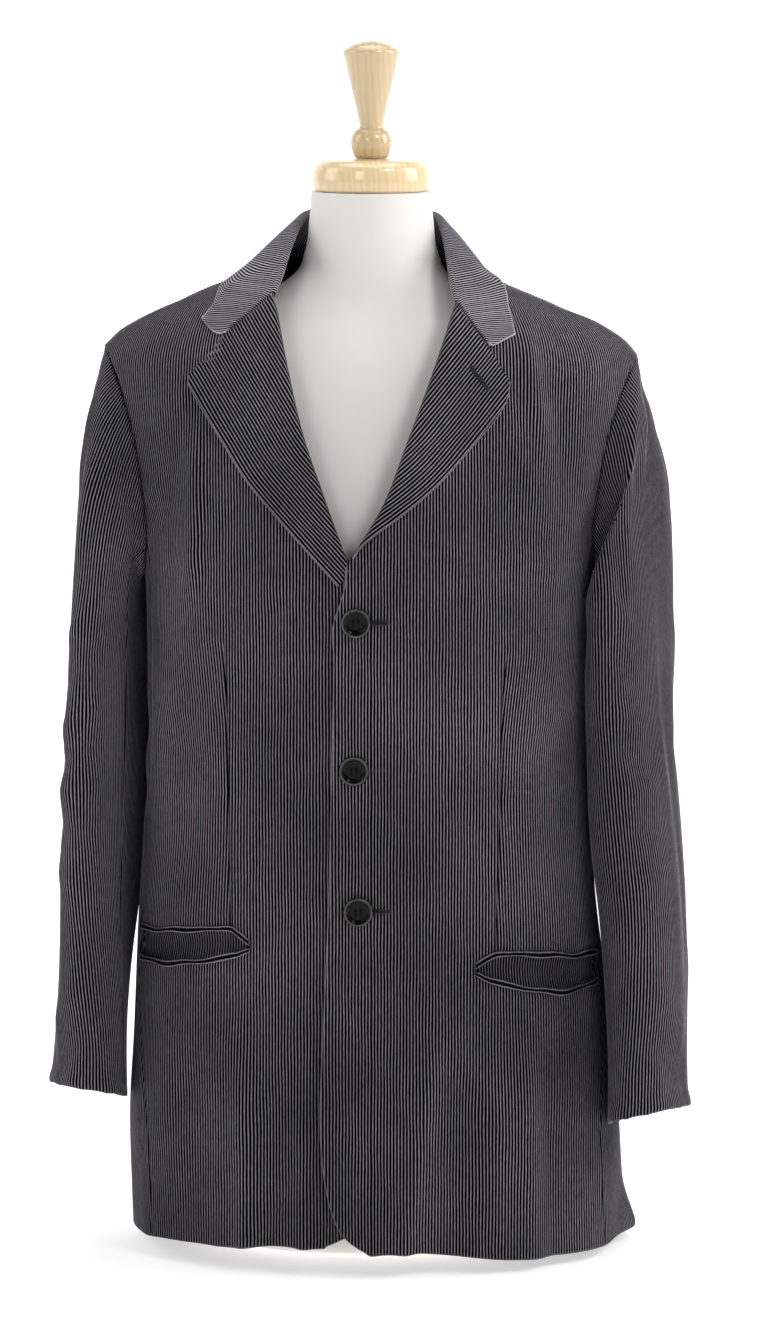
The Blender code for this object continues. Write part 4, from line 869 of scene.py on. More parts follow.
def lapel_piece(name, side):
    roll, outer, gorge = lapel_frame(side)
    t = np.linspace(0, 1, 60)
    roll_l = run_along(np.concatenate([[roll[0] - (roll[1] - roll[0]) * 0.35], roll]), t)
    out_l = run_along(outer, t)
    g = (gorge - roll[-1]) / np.linalg.norm(gorge - roll[-1])
    off = np.array((g[1], -g[0])) * side * SEAM
    m0 = np.array((roll_l[1, 1] - roll_l[0, 1], roll_l[0, 0] - roll_l[1, 0])) * side
    m0 /= np.linalg.norm(m0)
    poly = np.concatenate([out_l, [gorge + off], [roll[-1] + off - g * 14], roll_l[::-1] - m0 * 14])
    ring_l = np.concatenate([poly, poly[:1]])
    guide = np.concatenate([[outer[0] - (outer[1] - outer[0]) / np.linalg.norm(outer[1] - outer[0]) * 40], outer[:6],
                            [outer[5] + (outer[5] - outer[3]) / np.linalg.norm(outer[5] - outer[3]) * 80]])
    gl = np.concatenate([[0], np.cumsum(np.linalg.norm(np.diff(guide, axis=0), axis=1))])

    def flat(u, v):
        e = np.stack([smooth(v, gl, guide[:, k]) for k in range(2)], -1)
        f = np.stack([smooth(v + 1.0, gl, guide[:, k]) - smooth(v - 1.0, gl, guide[:, k]) for k in range(2)], -1)
        f /= np.maximum(np.linalg.norm(f, axis=-1, keepdims=True), 1e-9)
        return e + u[..., None] * np.stack([-f[..., 1], f[..., 0]], -1) * side

    def rolled(q):
        d, foot, run, at = segments(roll_l, q)
        m = np.stack([run[:, 1], -run[:, 0]], -1) * side
        t = ((q - foot) * m).sum(-1)
        far = np.abs(t) < d - 1e-6
        t = np.where(far, np.sign(t + 1e-9) * d, t)
        r = 2.2 + 1.8 * ease(at / 14)
        return t, foot, m, r

    def keep(u, v):
        q = flat(u, v).reshape(-1, 2)
        d = segments(ring_l, q)[0]
        d = np.where(inside(poly, q), d, -d)
        t, foot, m, r = rolled(q)
        return np.minimum(d, t + 2.0 * r).reshape(u.shape)

    def place(u, v):
        q = flat(u, v)
        t, foot, m, r = rolled(q)
        a = np.where(t < r, (r - t) / r, 0.0)
        x = np.where((t < r)[:, None], foot + m * (r - r * np.sin(a))[:, None], q)
        lift = np.where(t < r, r - WALL + r * np.cos(a), LIE + (2 * r - WALL - LIE) * np.exp(-((t - r) / 17) ** 2))
        lift = lift + 0.5 * np.sin(q[:, 0] / 17 + q[:, 1] / 26) * ease((t - 8) / 20)
        lift = lift + 2.6 * np.exp(-(segments(out_l, q)[0] / 15) ** 2) * ease((t - 4) / 16)
        return front_on(x[:, 0], x[:, 1], side, lift)[0]

    def free(u, v):
        return segments(out_l, flat(u, v))[0]

    def out_of(p):
        d = np.zeros_like(p)
        d[:, 1] = -1
        return d
    us = np.arange(-PITCH, 96, STEP)
    vs = np.arange(0, gl[-1], 3.4)
    return panel(name, us, vs, keep, place, out_of, CORD, (name,), soft=0.9, free=free)


# ------------------------------------------------------------------ collar
def skin():
    """Points of the coat round the neck with their normals."""
    out_p, out_n = [], []
    v = np.linspace(Z_CHEST + 60, Z_CHEST + TOP_RUN - 0.5, 90)
    for side in (1, -1):
        ph, vv = np.meshgrid(side * np.linspace(0.02, 1.35, 130), v)
        p, n = front_at(ph, vv, side)
        out_p.append(p.reshape(-1, 3))
        out_n.append(n.reshape(-1, 3))
    ph, vv = np.meshgrid(np.linspace(math.pi - 1.35, math.pi + 1.35, 240), v)
    out_p.append(body(ph, vv).reshape(-1, 3))
    out_n.append(normal(ph, vv).reshape(-1, 3))
    return np.concatenate(out_p), np.concatenate(out_n)


STAND, FALL = 7, 6


def collar_station(row, side):
    fx, fy, fz, ox, oy, oz, nx, ny, nz = row
    f, o, s = (np.array((side * x, y, z), float) for x, y, z in ((fx, fy, fz), (ox, oy, oz), (nx, ny, nz)))
    a, b = (s - f) / np.linalg.norm(s - f), (o - f) / np.linalg.norm(o - f)
    up = -(a + b)
    up /= np.linalg.norm(up)
    e = (o - s) - np.dot(o - s, up) * up
    e /= np.linalg.norm(e)
    c = f - FOLD_R * up
    t = np.radians(np.linspace(-90, 90, 5))
    nose = c + FOLD_R * (np.cos(t)[:, None] * up + np.sin(t)[:, None] * e)
    stand = s + (nose[0] - s) * np.linspace(0, 1, 3)[:2, None]
    k = np.linspace(0, 1, FALL + 1)[1:, None]
    fall = nose[-1] + (o - nose[-1]) * k + (up * 3.5 + e * 2.0) * np.sin(np.pi * k) ** 1.2
    return np.concatenate([stand, nose, fall])


def collar_front(side):
    roll, outer, gorge = lapel_frame(side)
    tip = np.array(TIP_L if side > 0 else TIP_R)
    length = np.linalg.norm(gorge - roll[-1]) + np.linalg.norm(tip - gorge)
    t = np.radians(np.linspace(-90, 90, STAND))
    d = np.concatenate([NOSE * (1 - np.cos(t)), NOSE + (length - NOSE) * np.linspace(0, 1, FALL + 1)[1:]])
    along_gorge = (gorge - roll[-1]) / np.linalg.norm(gorge - roll[-1])
    off = np.array((-along_gorge[1], along_gorge[0])) * (1 if side > 0 else -1)
    at = collar_end(side, d / length) + off * SEAM
    lift = np.concatenate([NOSE - WALL + NOSE * np.sin(t), LIE + (2 * NOSE - WALL - LIE) * np.exp(-((d[STAND:] - NOSE) / 17) ** 2)])
    return front_on(at[:, 0], at[:, 1], side, lift)[0]


def collar_rows(levels):
    rows = [collar_front(1)] + [collar_station(r, 1) for r in COLLAR_LEFT] \
        + [collar_station(r, -1) for r in COLLAR_RIGHT[-2::-1]] + [collar_front(-1)]
    p, length = along(np.array(rows), levels)
    sp, sn = skin()
    ends = np.minimum(np.arange(len(p)), np.arange(len(p))[::-1])
    for i in range(len(p)):
        for j in range(STAND, p.shape[1]):
            if ends[i] == 0:
                continue
            k = int(np.argmin(((sp - p[i, j]) ** 2).sum(axis=1)))
            h = float(np.dot(p[i, j] - sp[k], sn[k]))
            want = LIE + 0.8
            if h < want:
                p[i, j] += sn[k] * (want - h)
            elif j == p.shape[1] - 1:
                p[i, j] -= sn[k] * (h - want)
    return p


def collar_piece():
    half = np.array([0, 0.03, 0.07, 0.12, 0.18, 0.25, 0.33, 0.42, 0.5])
    coarse = collar_rows(np.concatenate([half, 1 - half[-2::-1]]))
    fine, length = along(coarse, 321)                     # along the collar
    k = np.arange(13.0)
    kk = np.linspace(0, 12, 121)
    full = np.stack([np.stack([smooth(kk, k, fine[i, :, c]) for c in range(3)], -1) for i in range(len(fine))])
    fold = full[:, 40]
    arc = np.concatenate([[0], np.cumsum(np.linalg.norm(np.diff(fold, axis=0), axis=1))])
    arc = arc[len(arc) // 2] - arc                         # from the centre back, + to the left
    mid = len(arc) // 2
    across = np.linspace(0, 12, 121)
    level = np.empty(full.shape[:2])                       # wale at each point: level in the front view at the ends
    for half_c, sign in ((slice(0, mid + 1), 1), (slice(mid, len(arc)), -1)):
        aa, zz = np.abs(arc[half_c]), fold[half_c, 2]
        order = np.argsort(aa)
        aa, zz = aa[order], zz[order]
        use = aa > 70
        slope, icept = np.polyfit(zz[use], aa[use], 1)
        own = np.abs(arc[half_c])[:, None]
        q = np.clip((across - 5.0) / 7.0, 0, 1)[None, :]
        want = np.clip(slope * full[half_c, :, 2] + icept - own - (slope * fold[half_c, 2] + icept - np.abs(arc[half_c]))[:, None], -5, 80)
        blend = ease((own - 70) / 60)
        level[half_c] = sign * (own + (1 - blend) * 40 * ease((own - 30) / 130) * q + blend * want * ease(q * 4))
    flat_u = {}

    def share(u, c):
        """Place along the collar of a wale at a place across it."""
        out = np.empty_like(u)
        key = np.round(np.clip(c, 0, 12), 4)
        for val in np.unique(key):
            pick = key == val
            if val not in flat_u:
                j = min(int(val * 10), 119)
                t = val * 10 - j
                flat_u[val] = np.maximum.accumulate((level[:, j] * (1 - t) + level[:, j + 1] * t)[::-1] + 1e-6 * np.arange(len(level)))
            g = flat_u[val]
            w = np.interp(u[pick], g, np.linspace(1, 0, len(g)))
            w = np.where(u[pick] > g[-1], -(u[pick] - g[-1]) / length, w)
            out[pick] = np.where(u[pick] < g[0], 1 + (g[0] - u[pick]) / length, w)
        return out

    def keep(u, c):
        w = share(u, c)
        return np.minimum(np.minimum(w, 1 - w) * length + 0.01, np.minimum(c + 0.3, 12.001 - c) * 8)

    def place(u, c):
        w = np.clip(share(u, c), 0, 1)
        a = np.clip(w * (len(full) - 1), 0, len(full) - 1.001)
        b = np.clip(c * 10, 0, 119.999)
        i, j = a.astype(int), b.astype(int)
        a, b = (a - i)[:, None], (b - j)[:, None]
        return (full[i, j] * (1 - b) + full[i, j + 1] * b) * (1 - a) + (full[i + 1, j] * (1 - b) + full[i + 1, j + 1] * b) * a

    def out_of(p):
        return np.where((p[:, 2] < 880)[:, None], np.stack([p[:, 0], p[:, 1], p[:, 2] * 0 + 60], 1), 0)

    def free(u, c):
        w = share(u, c)
        return np.minimum((12 - c) * 8, np.where(c > 9.5, np.minimum(w, 1 - w) * length, 99.0))
    us = np.arange(math.floor(-330 / PITCH) * PITCH, 330, STEP)
    cs = np.concatenate([np.linspace(0, 2, 5)[:-1], np.linspace(2, 6, 11)[:-1], np.linspace(6, 10.5, 13)[:-1], np.linspace(10.5, 12, 9)])
    ob = panel("collar", us, cs, keep, place, out_of, CORD_LIGHT, ("collar",), soft=0.5, wander=0.0, free=free)
    wide = float(np.ptp(arc)) / 1000
    return ob, wide


# ------------------------------------------------------------------ pockets
def pocket_pieces(word, side):
    tab = np.array(MOUTH_LEFT if side > 0 else MOUTH_RIGHT, float)
    fine = np.linspace(0, 1, 160)
    x, up, low = (smooth(fine, np.linspace(0, 1, len(tab)), tab[:, k]) for k in range(3))
    run = front_on(x, (up + low) / 2, side, np.zeros(160))[0]
    arc = np.concatenate([[0], np.cumsum(np.linalg.norm(np.diff(run, axis=0), axis=1))])
    made = []

    def out_of(p):
        return around(p)

    def lip(name, edge, way):
        # u runs across the lip so its wales lie along it, v along the mouth
        def place(u, v):
            xx, ee = np.interp(v, arc, x), np.interp(v, arc, edge)
            a = np.clip(u / 6.2, 0, 1)
            turn = a * math.pi
            z = ee + way * ((2.9 - 2.9 * np.cos(turn)) * (0.86 + 0.2 * np.sin(v / 9 + way)) - 0.6) + 0.7 * np.sin(v / 6.5 + 2 * way) * np.sin(np.pi * v / arc[-1])
            return front_on(xx, z, side, 0.2 + 2.4 * np.sin(turn) ** 0.8 + 0.5 * ripple(v, z * 0))[0]

        def keep(u, v):
            return np.minimum(np.minimum(u + 0.02, 6.22 - u), np.minimum(v + 0.02, arc[-1] + 0.02 - v)) + 1.0
        us = np.linspace(0, 6.2, 17)
        vs = np.linspace(0, arc[-1], 70)
        ob = panel(name, us, vs, keep, place, out_of, CORD_LIP, (name,), soft=0.0, rim=0.6, relief=0.8, wander=0.0, phase=lambda u, v: u * 2 * PITCH / 6.2)
        made.append(ob)
    lip("welt_upper_" + word, up, 1)
    lip("welt_lower_" + word, low, -1)

    def place(u, v):
        k = np.clip(u / arc[-1], 0, 1)
        xx, uu, ll = np.interp(u, arc, x), np.interp(u, arc, up), np.interp(u, arc, low)
        z = ll - 4 + (uu - ll + 8) * v / 30.0
        return front_on(xx, z, side, -3.0 - 5.0 * np.sin(np.pi * np.clip(k, 0, 1)) * np.sin(np.pi * np.clip(v / 30, 0, 1)))[0]
    ob = panel("facing_" + word, np.arange(2.0, arc[-1] - 0.5, STEP), np.linspace(0, 30, 9), lambda u, v: u * 0 + 9.0, place, out_of, CORD_DARK,
               ("facing_" + word,), soft=0, rim=0.5)
    made.append(ob)
    return made


# ------------------------------------------------------------------ buttons, buttonholes, form
def lathe(name, profile, mat, nodes, centre=(0, 0, 0), axis=(0, 0, 1), seg=96, extra=None, tone_shift=None):
    ax = np.array(axis, float)
    ax /= np.linalg.norm(ax)
    u = np.cross(ax, (1, 0, 0) if abs(ax[0]) < 0.9 else (0, 1, 0))
    u /= np.linalg.norm(u)
    w = np.cross(ax, u)
    t = np.arange(seg) * 2 * np.pi / seg
    c = np.array(centre, float)
    prof = np.array(profile, float)
    verts = [c + ax * prof[0, 1]]
    for rad, h in prof:
        verts += list(c + ax * h + rad * (np.cos(t)[:, None] * u + np.sin(t)[:, None] * w))
    verts.append(c + ax * prof[-1, 1])
    faces = [(0, 1 + (k + 1) % seg, 1 + k) for k in range(seg)]
    for i in range(len(prof) - 1):
        a, b = 1 + i * seg, 1 + (i + 1) * seg
        faces += [(a + k, a + (k + 1) % seg, b + (k + 1) % seg, b + k) for k in range(seg)]
    last, end = 1 + (len(prof) - 1) * seg, len(verts) - 1
    faces += [(end, last + k, last + (k + 1) % seg) for k in range(seg)]
    bead = None if tone_shift is None else [0.0] + [float(tone_shift(rad, h)) for rad, h in prof for k in range(seg)] + [0.0]
    if extra:
        extra(verts, faces, c, ax, u, w)
    if bead:
        bead += [0.0] * (len(verts) - len(bead))
    return make(name, verts, faces, mat, nodes, bead=bead)


def fine_profile(rows, n):
    r = np.array(rows, float)
    a = np.concatenate([[0], np.cumsum(np.linalg.norm(np.diff(r, axis=0), axis=1))])
    t = np.linspace(0, a[-1], n)
    return np.stack([np.maximum(smooth(t, a, r[:, k]), 0.01) if k == 0 else smooth(t, a, r[:, k]) for k in range(2)], 1)


def tube(points, normals, rad, seg=8, closed=False):
    """A thread along points that lie on cloth."""
    p = np.asarray(points, float)
    n = np.asarray(normals, float)
    d = np.gradient(p, axis=0) if not closed else np.roll(p, -1, 0) - np.roll(p, 1, 0)
    d /= np.maximum(np.linalg.norm(d, axis=1, keepdims=True), 1e-9)
    s = np.cross(d, n)
    s /= np.maximum(np.linalg.norm(s, axis=1, keepdims=True), 1e-9)
    m = np.cross(s, d)
    t = np.arange(seg) * 2 * np.pi / seg
    r = np.broadcast_to(np.asarray(rad, float), (len(p),))
    verts = (p[:, None] + r[:, None, None] * (np.cos(t)[None, :, None] * s[:, None] + np.sin(t)[None, :, None] * m[:, None])).reshape(-1, 3)
    k = len(p)
    faces = []
    for i in range(k if closed else k - 1):
        for j in range(seg):
            a, b = i * seg, ((i + 1) % k) * seg
            faces.append((a + j, a + (j + 1) % seg, b + (j + 1) % seg, b + j))
    if not closed:
        faces += [tuple(range(seg))[::-1], tuple((k - 1) * seg + j for j in range(seg))]
    return verts, faces


def buttonhole(name, a, b, side, lift, width=1.5):
    """A worked hole: purl stitches round a slit."""
    a, b = np.array(a, float), np.array(b, float)
    d = (b - a) / np.linalg.norm(b - a)
    m = np.array((-d[1], d[0]))
    ll = np.linalg.norm(b - a)
    verts, faces = [], []
    turns = int(ll / 0.75)
    rim = []
    for k in range(turns):
        rim.append(a + d * ll * k / turns + m * width)
    for k in range(7):
        t = math.pi / 2 - math.pi * k / 6
        rim.append(b + d * math.cos(t) * width + m * math.sin(t) * width)
    for k in range(turns):
        rim.append(b - d * ll * k / turns - m * width)
    for k in range(7):
        t = -math.pi / 2 - math.pi * k / 6
        rim.append(a + d * math.cos(t) * width + m * math.sin(t) * width)
    rim = np.array(rim)
    mid = a + d * np.clip(((rim - a) @ d), 0.4, ll - 0.4)[:, None]
    for k in range(len(rim)):
        q = np.stack([mid[k] + (rim[k] - mid[k]) * s for s in (0.25, 0.7, 1.25)])
        p, n = front_on(q[:, 0], q[:, 1], side, np.array((lift + 0.05, lift + 0.55, lift - 0.3)))
        v, f = tube(p, n, 0.34, 6)
        f = [tuple(i + len(verts) for i in x) for x in f]
        verts += v.tolist()
        faces += f
    return make(name, verts, faces, THREAD)


def form_piece():
    z = np.concatenate([np.linspace(FLOOR, 40, 14)[:-1], np.linspace(40, 780, 90)[:-1], np.linspace(780, 922, 70)])
    seg = 144
    t = np.arange(seg) * 2 * np.pi / seg
    verts = [(0, 0, FLOOR)]
    for h in z:
        w, f, b = (float(smooth(h, col(FORM, 0), col(FORM, k))) for k in (1, 2, 3))
        e = 2 / (2.25 - 0.25 * float(ease((h - 800) / 70)))
        c = np.sign(np.cos(t)) * np.abs(np.cos(t)) ** e
        s = np.sign(np.sin(t)) * np.abs(np.sin(t)) ** e
        verts += [(w * cc, (f + b) / 2 + (b - f) / 2 * ss, h) for cc, ss in zip(c, s)]
    verts.append((0, FORM_Y, z[-1]))
    faces = [(0, 1 + (k + 1) % seg, 1 + k) for k in range(seg)]
    for i in range(len(z) - 1):
        a, b = 1 + i * seg, 1 + (i + 1) * seg
        faces += [(a + k, a + (k + 1) % seg, b + (k + 1) % seg, b + k) for k in range(seg)]
    a, end = 1 + (len(z) - 1) * seg, len(verts) - 1
    faces += [(end, a + k, a + (k + 1) % seg) for k in range(seg)]
    return make("dress_form", verts, faces, JERSEY, ("form_body",))


# ------------------------------------------------------------------ materials
def material(name):
    m = bpy.data.materials.new(name)
    m.use_nodes = True
    nt = m.node_tree
    bs = nt.nodes["Principled BSDF"]

    def new(kind, **kw):
        nd = nt.nodes.new(kind)
        for k, v in kw.items():
            if isinstance(k, str) and k.startswith("in_"):
                nd.inputs[int(k[3:])].default_value = v
            else:
                setattr(nd, k, v)
        return nd

    def link(a, b):
        nt.links.new(a, b)
    return m, nt, bs, new, link


def calc(new, link, op, a, b=None, c=None, clamp=False):
    nd = new("ShaderNodeMath", operation=op, use_clamp=clamp)
    for k, x in enumerate((a, b, c)):
        if x is None:
            continue
        if isinstance(x, (int, float)):
            nd.inputs[k].default_value = x
        else:
            link(x, nd.inputs[k])
    return nd.outputs[0]


def ramp(new, link, fac, stops):
    nd = new("ShaderNodeValToRGB")
    el = nd.color_ramp.elements
    while len(el) < len(stops):
        el.new(0.5)
    for e, (pos, c) in zip(el, stops):
        e.position = pos
        e.color = tuple(c) + (1.0,) if len(c) == 3 else c
    link(fac, nd.inputs[0])
    return nd.outputs[0]


def srgb(r, g, b):
    return tuple(((c / 255 + 0.055) / 1.055) ** 2.4 if c > 10 else c / 255 / 12.92 for c in (r, g, b))


def corduroy(name, dark=1.0):
    m, nt, bs, new, link = material(name)
    at = new("ShaderNodeAttribute", attribute_name="cloth")
    sep = new("ShaderNodeSeparateXYZ")
    link(at.outputs["Vector"], sep.inputs[0])
    u, v, e = sep.outputs
    # 0 in a groove, 1 on a crest
    ph = calc(new, link, "FRACT", calc(new, link, "DIVIDE", u, PITCH))
    tri = calc(new, link, "SUBTRACT", 1.0, calc(new, link, "ABSOLUTE", calc(new, link, "SUBTRACT", calc(new, link, "MULTIPLY", ph, 2.0), 1.0)))
    # pile lies unevenly: noise stretched along the wale
    co = new("ShaderNodeCombineXYZ")
    link(calc(new, link, "MULTIPLY", u, 0.9), co.inputs[0])
    link(calc(new, link, "MULTIPLY", v, 0.16), co.inputs[1])
    pile = new("ShaderNodeTexNoise", in_2=1.0, in_3=3.0, in_4=0.6)
    link(co.outputs[0], pile.inputs["Vector"])
    geo = new("ShaderNodeTexCoord")
    wear = new("ShaderNodeTexNoise", in_2=7.0, in_3=4.0, in_4=0.5)
    link(geo.outputs["Object"], wear.inputs["Vector"])
    fuzz = new("ShaderNodeTexNoise", in_2=1400.0, in_3=2.0, in_4=0.6)
    link(geo.outputs["Object"], fuzz.inputs["Vector"])
    h = calc(new, link, "ADD", tri, calc(new, link, "MULTIPLY", calc(new, link, "SUBTRACT", pile.outputs[0], 0.5), 0.42))
    h = calc(new, link, "ADD", h, calc(new, link, "MULTIPLY", calc(new, link, "SUBTRACT", fuzz.outputs[0], 0.5), 0.22), clamp=True)
    # painted highlight: along free edges the colour is raised to the crest colour, for the rolled edge catching light;
    # the painted seam shade is lifted there too
    turned = new("ShaderNodeAttribute", attribute_name="bead")
    h = calc(new, link, "MAXIMUM", h, calc(new, link, "MULTIPLY", turned.outputs["Fac"], 0.84))
    e = calc(new, link, "ADD", e, calc(new, link, "MULTIPLY", turned.outputs["Fac"], 3.0))
    d = dark
    base = ramp(new, link, h, ((0.0, (0.0006 * d, 0.0006 * d, 0.0007 * d)), (0.46, (0.0018 * d, 0.0017 * d, 0.002 * d)),
                               (0.6, (0.038 * d, 0.0363 * d, 0.0404 * d)), (0.78, (0.18 * d, 0.172 * d, 0.19 * d)), (1.0, (0.28 * d, 0.27 * d, 0.293 * d))))
    tone_shift = new("ShaderNodeMix", data_type="RGBA", blend_type="MULTIPLY")
    tone_shift.inputs["Factor"].default_value = 1.0
    link(base, tone_shift.inputs["A"])
    link(ramp(new, link, wear.outputs[0], ((0.32, (0.66, 0.66, 0.67)), (0.68, (1.2, 1.19, 1.2)))), tone_shift.inputs["B"])
    # painted shade: the colour is darkened toward sewn edges, where shade falls between the pieces
    seam = new("ShaderNodeMix", data_type="RGBA", blend_type="MULTIPLY")
    seam.inputs["Factor"].default_value = 1.0
    link(tone_shift.outputs["Result"], seam.inputs["A"])
    link(ramp(new, link, calc(new, link, "DIVIDE", e, 2.4, clamp=True), ((0.0, (0.5, 0.5, 0.5)), (1.0, (1.0, 1.0, 1.0)))), seam.inputs["B"])
    link(seam.outputs["Result"], bs.inputs["Base Color"])
    link(ramp(new, link, h, ((0.0, (0.98,) * 3), (1.0, (0.82,) * 3))), bs.inputs["Roughness"])
    bs.inputs["Specular IOR Level"].default_value = 0.03
    bs.inputs["Sheen Weight"].default_value = 0.22
    bs.inputs["Sheen Roughness"].default_value = 0.3
    bs.inputs["Sheen Tint"].default_value = (0.84, 0.78, 0.92, 1.0)
    bump = new("ShaderNodeBump", in_0=0.5, in_1=0.0006)
    link(h, bump.inputs["Height"])
    link(bump.outputs[0], bs.inputs["Normal"])
    return m


def jersey():
    m, nt, bs, new, link = material("ivory_jersey")
    geo = new("ShaderNodeTexCoord")
    knit = new("ShaderNodeTexWave", in_1=900.0, in_2=1.5, in_3=2.0, in_4=2.0, bands_direction="Z")
    link(geo.outputs["Object"], knit.inputs["Vector"])
    cloud = new("ShaderNodeTexNoise", in_2=14.0, in_3=4.0, in_4=0.5)
    link(geo.outputs["Object"], cloud.inputs["Vector"])
    a = ramp(new, link, cloud.outputs[0], ((0.3, (0.79, 0.752, 0.718)), (0.7, (0.84, 0.802, 0.768))))
    mix = new("ShaderNodeMix", data_type="RGBA", blend_type="MULTIPLY")
    mix.inputs["Factor"].default_value = 0.12
    link(a, mix.inputs["A"])
    link(ramp(new, link, knit.outputs["Color"], ((0.0, (0.8, 0.8, 0.8)), (1.0, (1.0, 1.0, 1.0)))), mix.inputs["B"])
    link(mix.outputs["Result"], bs.inputs["Base Color"])
    link(ramp(new, link, knit.outputs["Color"], ((0.0, (0.75,) * 3), (1.0, (0.6,) * 3))), bs.inputs["Roughness"])
    bs.inputs["Specular IOR Level"].default_value = 0.3
    bs.inputs["Sheen Weight"].default_value = 0.1
    bump = new("ShaderNodeBump", in_0=0.15, in_1=0.0002)
    link(knit.outputs["Color"], bump.inputs["Height"])
    link(bump.outputs[0], bs.inputs["Normal"])
    return m


def wood(name, tone):
    m, nt, bs, new, link = material(name)
    geo = new("ShaderNodeTexCoord")
    mp = new("ShaderNodeMapping")
    mp.inputs["Scale"].default_value = (26.0, 26.0, 4.0)
    mp.inputs["Rotation"].default_value = (0.25, 0.5, 0.0)
    link(geo.outputs["Object"], mp.inputs["Vector"])
    warp = new("ShaderNodeTexNoise", in_2=2.2, in_3=5.0, in_4=0.6)
    link(mp.outputs[0], warp.inputs["Vector"])
    grain = new("ShaderNodeTexWave", in_1=2.6, in_2=5.0, in_3=3.0, in_4=1.6, bands_direction="X")
    link(mp.outputs[0], grain.inputs["Vector"])
    fine = new("ShaderNodeTexNoise", in_2=60.0, in_3=4.0, in_4=0.7)
    link(mp.outputs[0], fine.inputs["Vector"])
    k = calc(new, link, "ADD", calc(new, link, "MULTIPLY", grain.outputs["Fac"], 0.55), calc(new, link, "MULTIPLY", warp.outputs[0], 0.45))
    c = ramp(new, link, k, tuple((at, tuple(tone * q for q in rgb)) for at, rgb in ((0.2, (0.70, 0.545, 0.325)), (0.5, (0.685, 0.528, 0.302)), (0.8, (0.645, 0.482, 0.26)))))
    mix = new("ShaderNodeMix", data_type="RGBA", blend_type="MULTIPLY")
    mix.inputs["Factor"].default_value = 0.25
    link(c, mix.inputs["A"])
    link(ramp(new, link, fine.outputs[0], ((0.35, (0.88, 0.84, 0.77)), (0.65, (1.0, 1.0, 1.0)))), mix.inputs["B"])
    link(mix.outputs["Result"], bs.inputs["Base Color"])
    link(ramp(new, link, fine.outputs[0], ((0.3, (0.3,) * 3), (0.7, (0.42,) * 3))), bs.inputs["Roughness"])
    bs.inputs["Coat Weight"].default_value = 0.8
    bs.inputs["Coat Roughness"].default_value = 0.07
    bump = new("ShaderNodeBump", in_0=0.12, in_1=0.0003)
    link(fine.outputs[0], bump.inputs["Height"])
    link(bump.outputs[0], bs.inputs["Normal"])
    return m


def horn():
    m, nt, bs, new, link = material("black_button")
    geo = new("ShaderNodeTexCoord")
    cloud = new("ShaderNodeTexNoise", in_2=160.0, in_3=5.0, in_4=0.6)
    link(geo.outputs["Object"], cloud.inputs["Vector"])
    # lighter rim: partly the horn's own lighter edge, partly a painted highlight for the bright ring round the button
    rim = new("ShaderNodeAttribute", attribute_name="bead")
    mix = new("ShaderNodeMix", data_type="RGBA", blend_type="MIX")
    link(calc(new, link, "MULTIPLY", rim.outputs["Fac"], calc(new, link, "MULTIPLY", cloud.outputs[0], 1.5), clamp=True), mix.inputs["Factor"])
    link(ramp(new, link, cloud.outputs[0], ((0.35, (0.0015, 0.0015, 0.0018)), (0.7, (0.004, 0.0038, 0.0037)))), mix.inputs["A"])
    mix.inputs["B"].default_value = (0.13, 0.125, 0.115, 1.0)
    link(mix.outputs["Result"], bs.inputs["Base Color"])
    link(ramp(new, link, cloud.outputs[0], ((0.3, (0.08,) * 3), (0.7, (0.16,) * 3))), bs.inputs["Roughness"])
    bs.inputs["Specular IOR Level"].default_value = 0.14
    return m


def thread():
    m, nt, bs, new, link = material("purl_thread")
    geo = new("ShaderNodeTexCoord")
    ply = new("ShaderNodeTexNoise", in_2=2600.0, in_3=2.0, in_4=0.6)
    link(geo.outputs["Object"], ply.inputs["Vector"])
    link(ramp(new, link, ply.outputs[0], ((0.3, (0.002, 0.002, 0.0024)), (0.7, (0.011, 0.0108, 0.0125)))), bs.inputs["Base Color"])
    link(ramp(new, link, ply.outputs[0], ((0.3, (0.7,) * 3), (0.7, (0.55,) * 3))), bs.inputs["Roughness"])
    return m


def paper():
    m, nt, bs, new, link = material("pale_floor")
    geo = new("ShaderNodeTexCoord")
    cloud = new("ShaderNodeTexNoise", in_2=3.0, in_3=3.0, in_4=0.5)
    link(geo.outputs["Object"], cloud.inputs["Vector"])
    link(ramp(new, link, cloud.outputs[0], ((0.3, (0.93, 0.93, 0.93)), (0.7, (0.95, 0.95, 0.95)))), bs.inputs["Base Color"])
    bs.inputs["Roughness"].default_value = 0.9
    bs.inputs["Specular IOR Level"].default_value = 0.1
    bs.inputs["Emission Color"].default_value = (1.0, 1.0, 1.0, 1.0)
    span = new("ShaderNodeVectorMath", operation="LENGTH")
    link(geo.outputs["Object"], span.inputs[0])
    near = new("ShaderNodeMapRange", in_1=0.5, in_2=3.2, in_3=0.5, in_4=0.9)
    link(span.outputs["Value"], near.inputs[0])
    link(near.outputs[0], bs.inputs["Emission Strength"])
    return m


# lit and shaded copies of the corduroy: the collar's copy is painted twice as light for the light falling on it, while
# the pocket facing (corduroy_in_shade) and the welt lips carry painted shade
CORD, CORD_DARK, CORD_LIGHT = corduroy("corduroy"), corduroy("corduroy_in_shade", 0.68), corduroy("corduroy_brushed_up", 2.0)
CORD_LIP = corduroy("corduroy_lip", 0.85)
# lit and shaded copies of one wood: the neck cap's copy is painted lighter (1.18), the finial's darker (0.92)
JERSEY, WOOD, WOOD_SHADED, HORN, THREAD = jersey(), wood("varnished_wood", 1.18), wood("varnished_wood_deep", 0.92), horn(), thread()

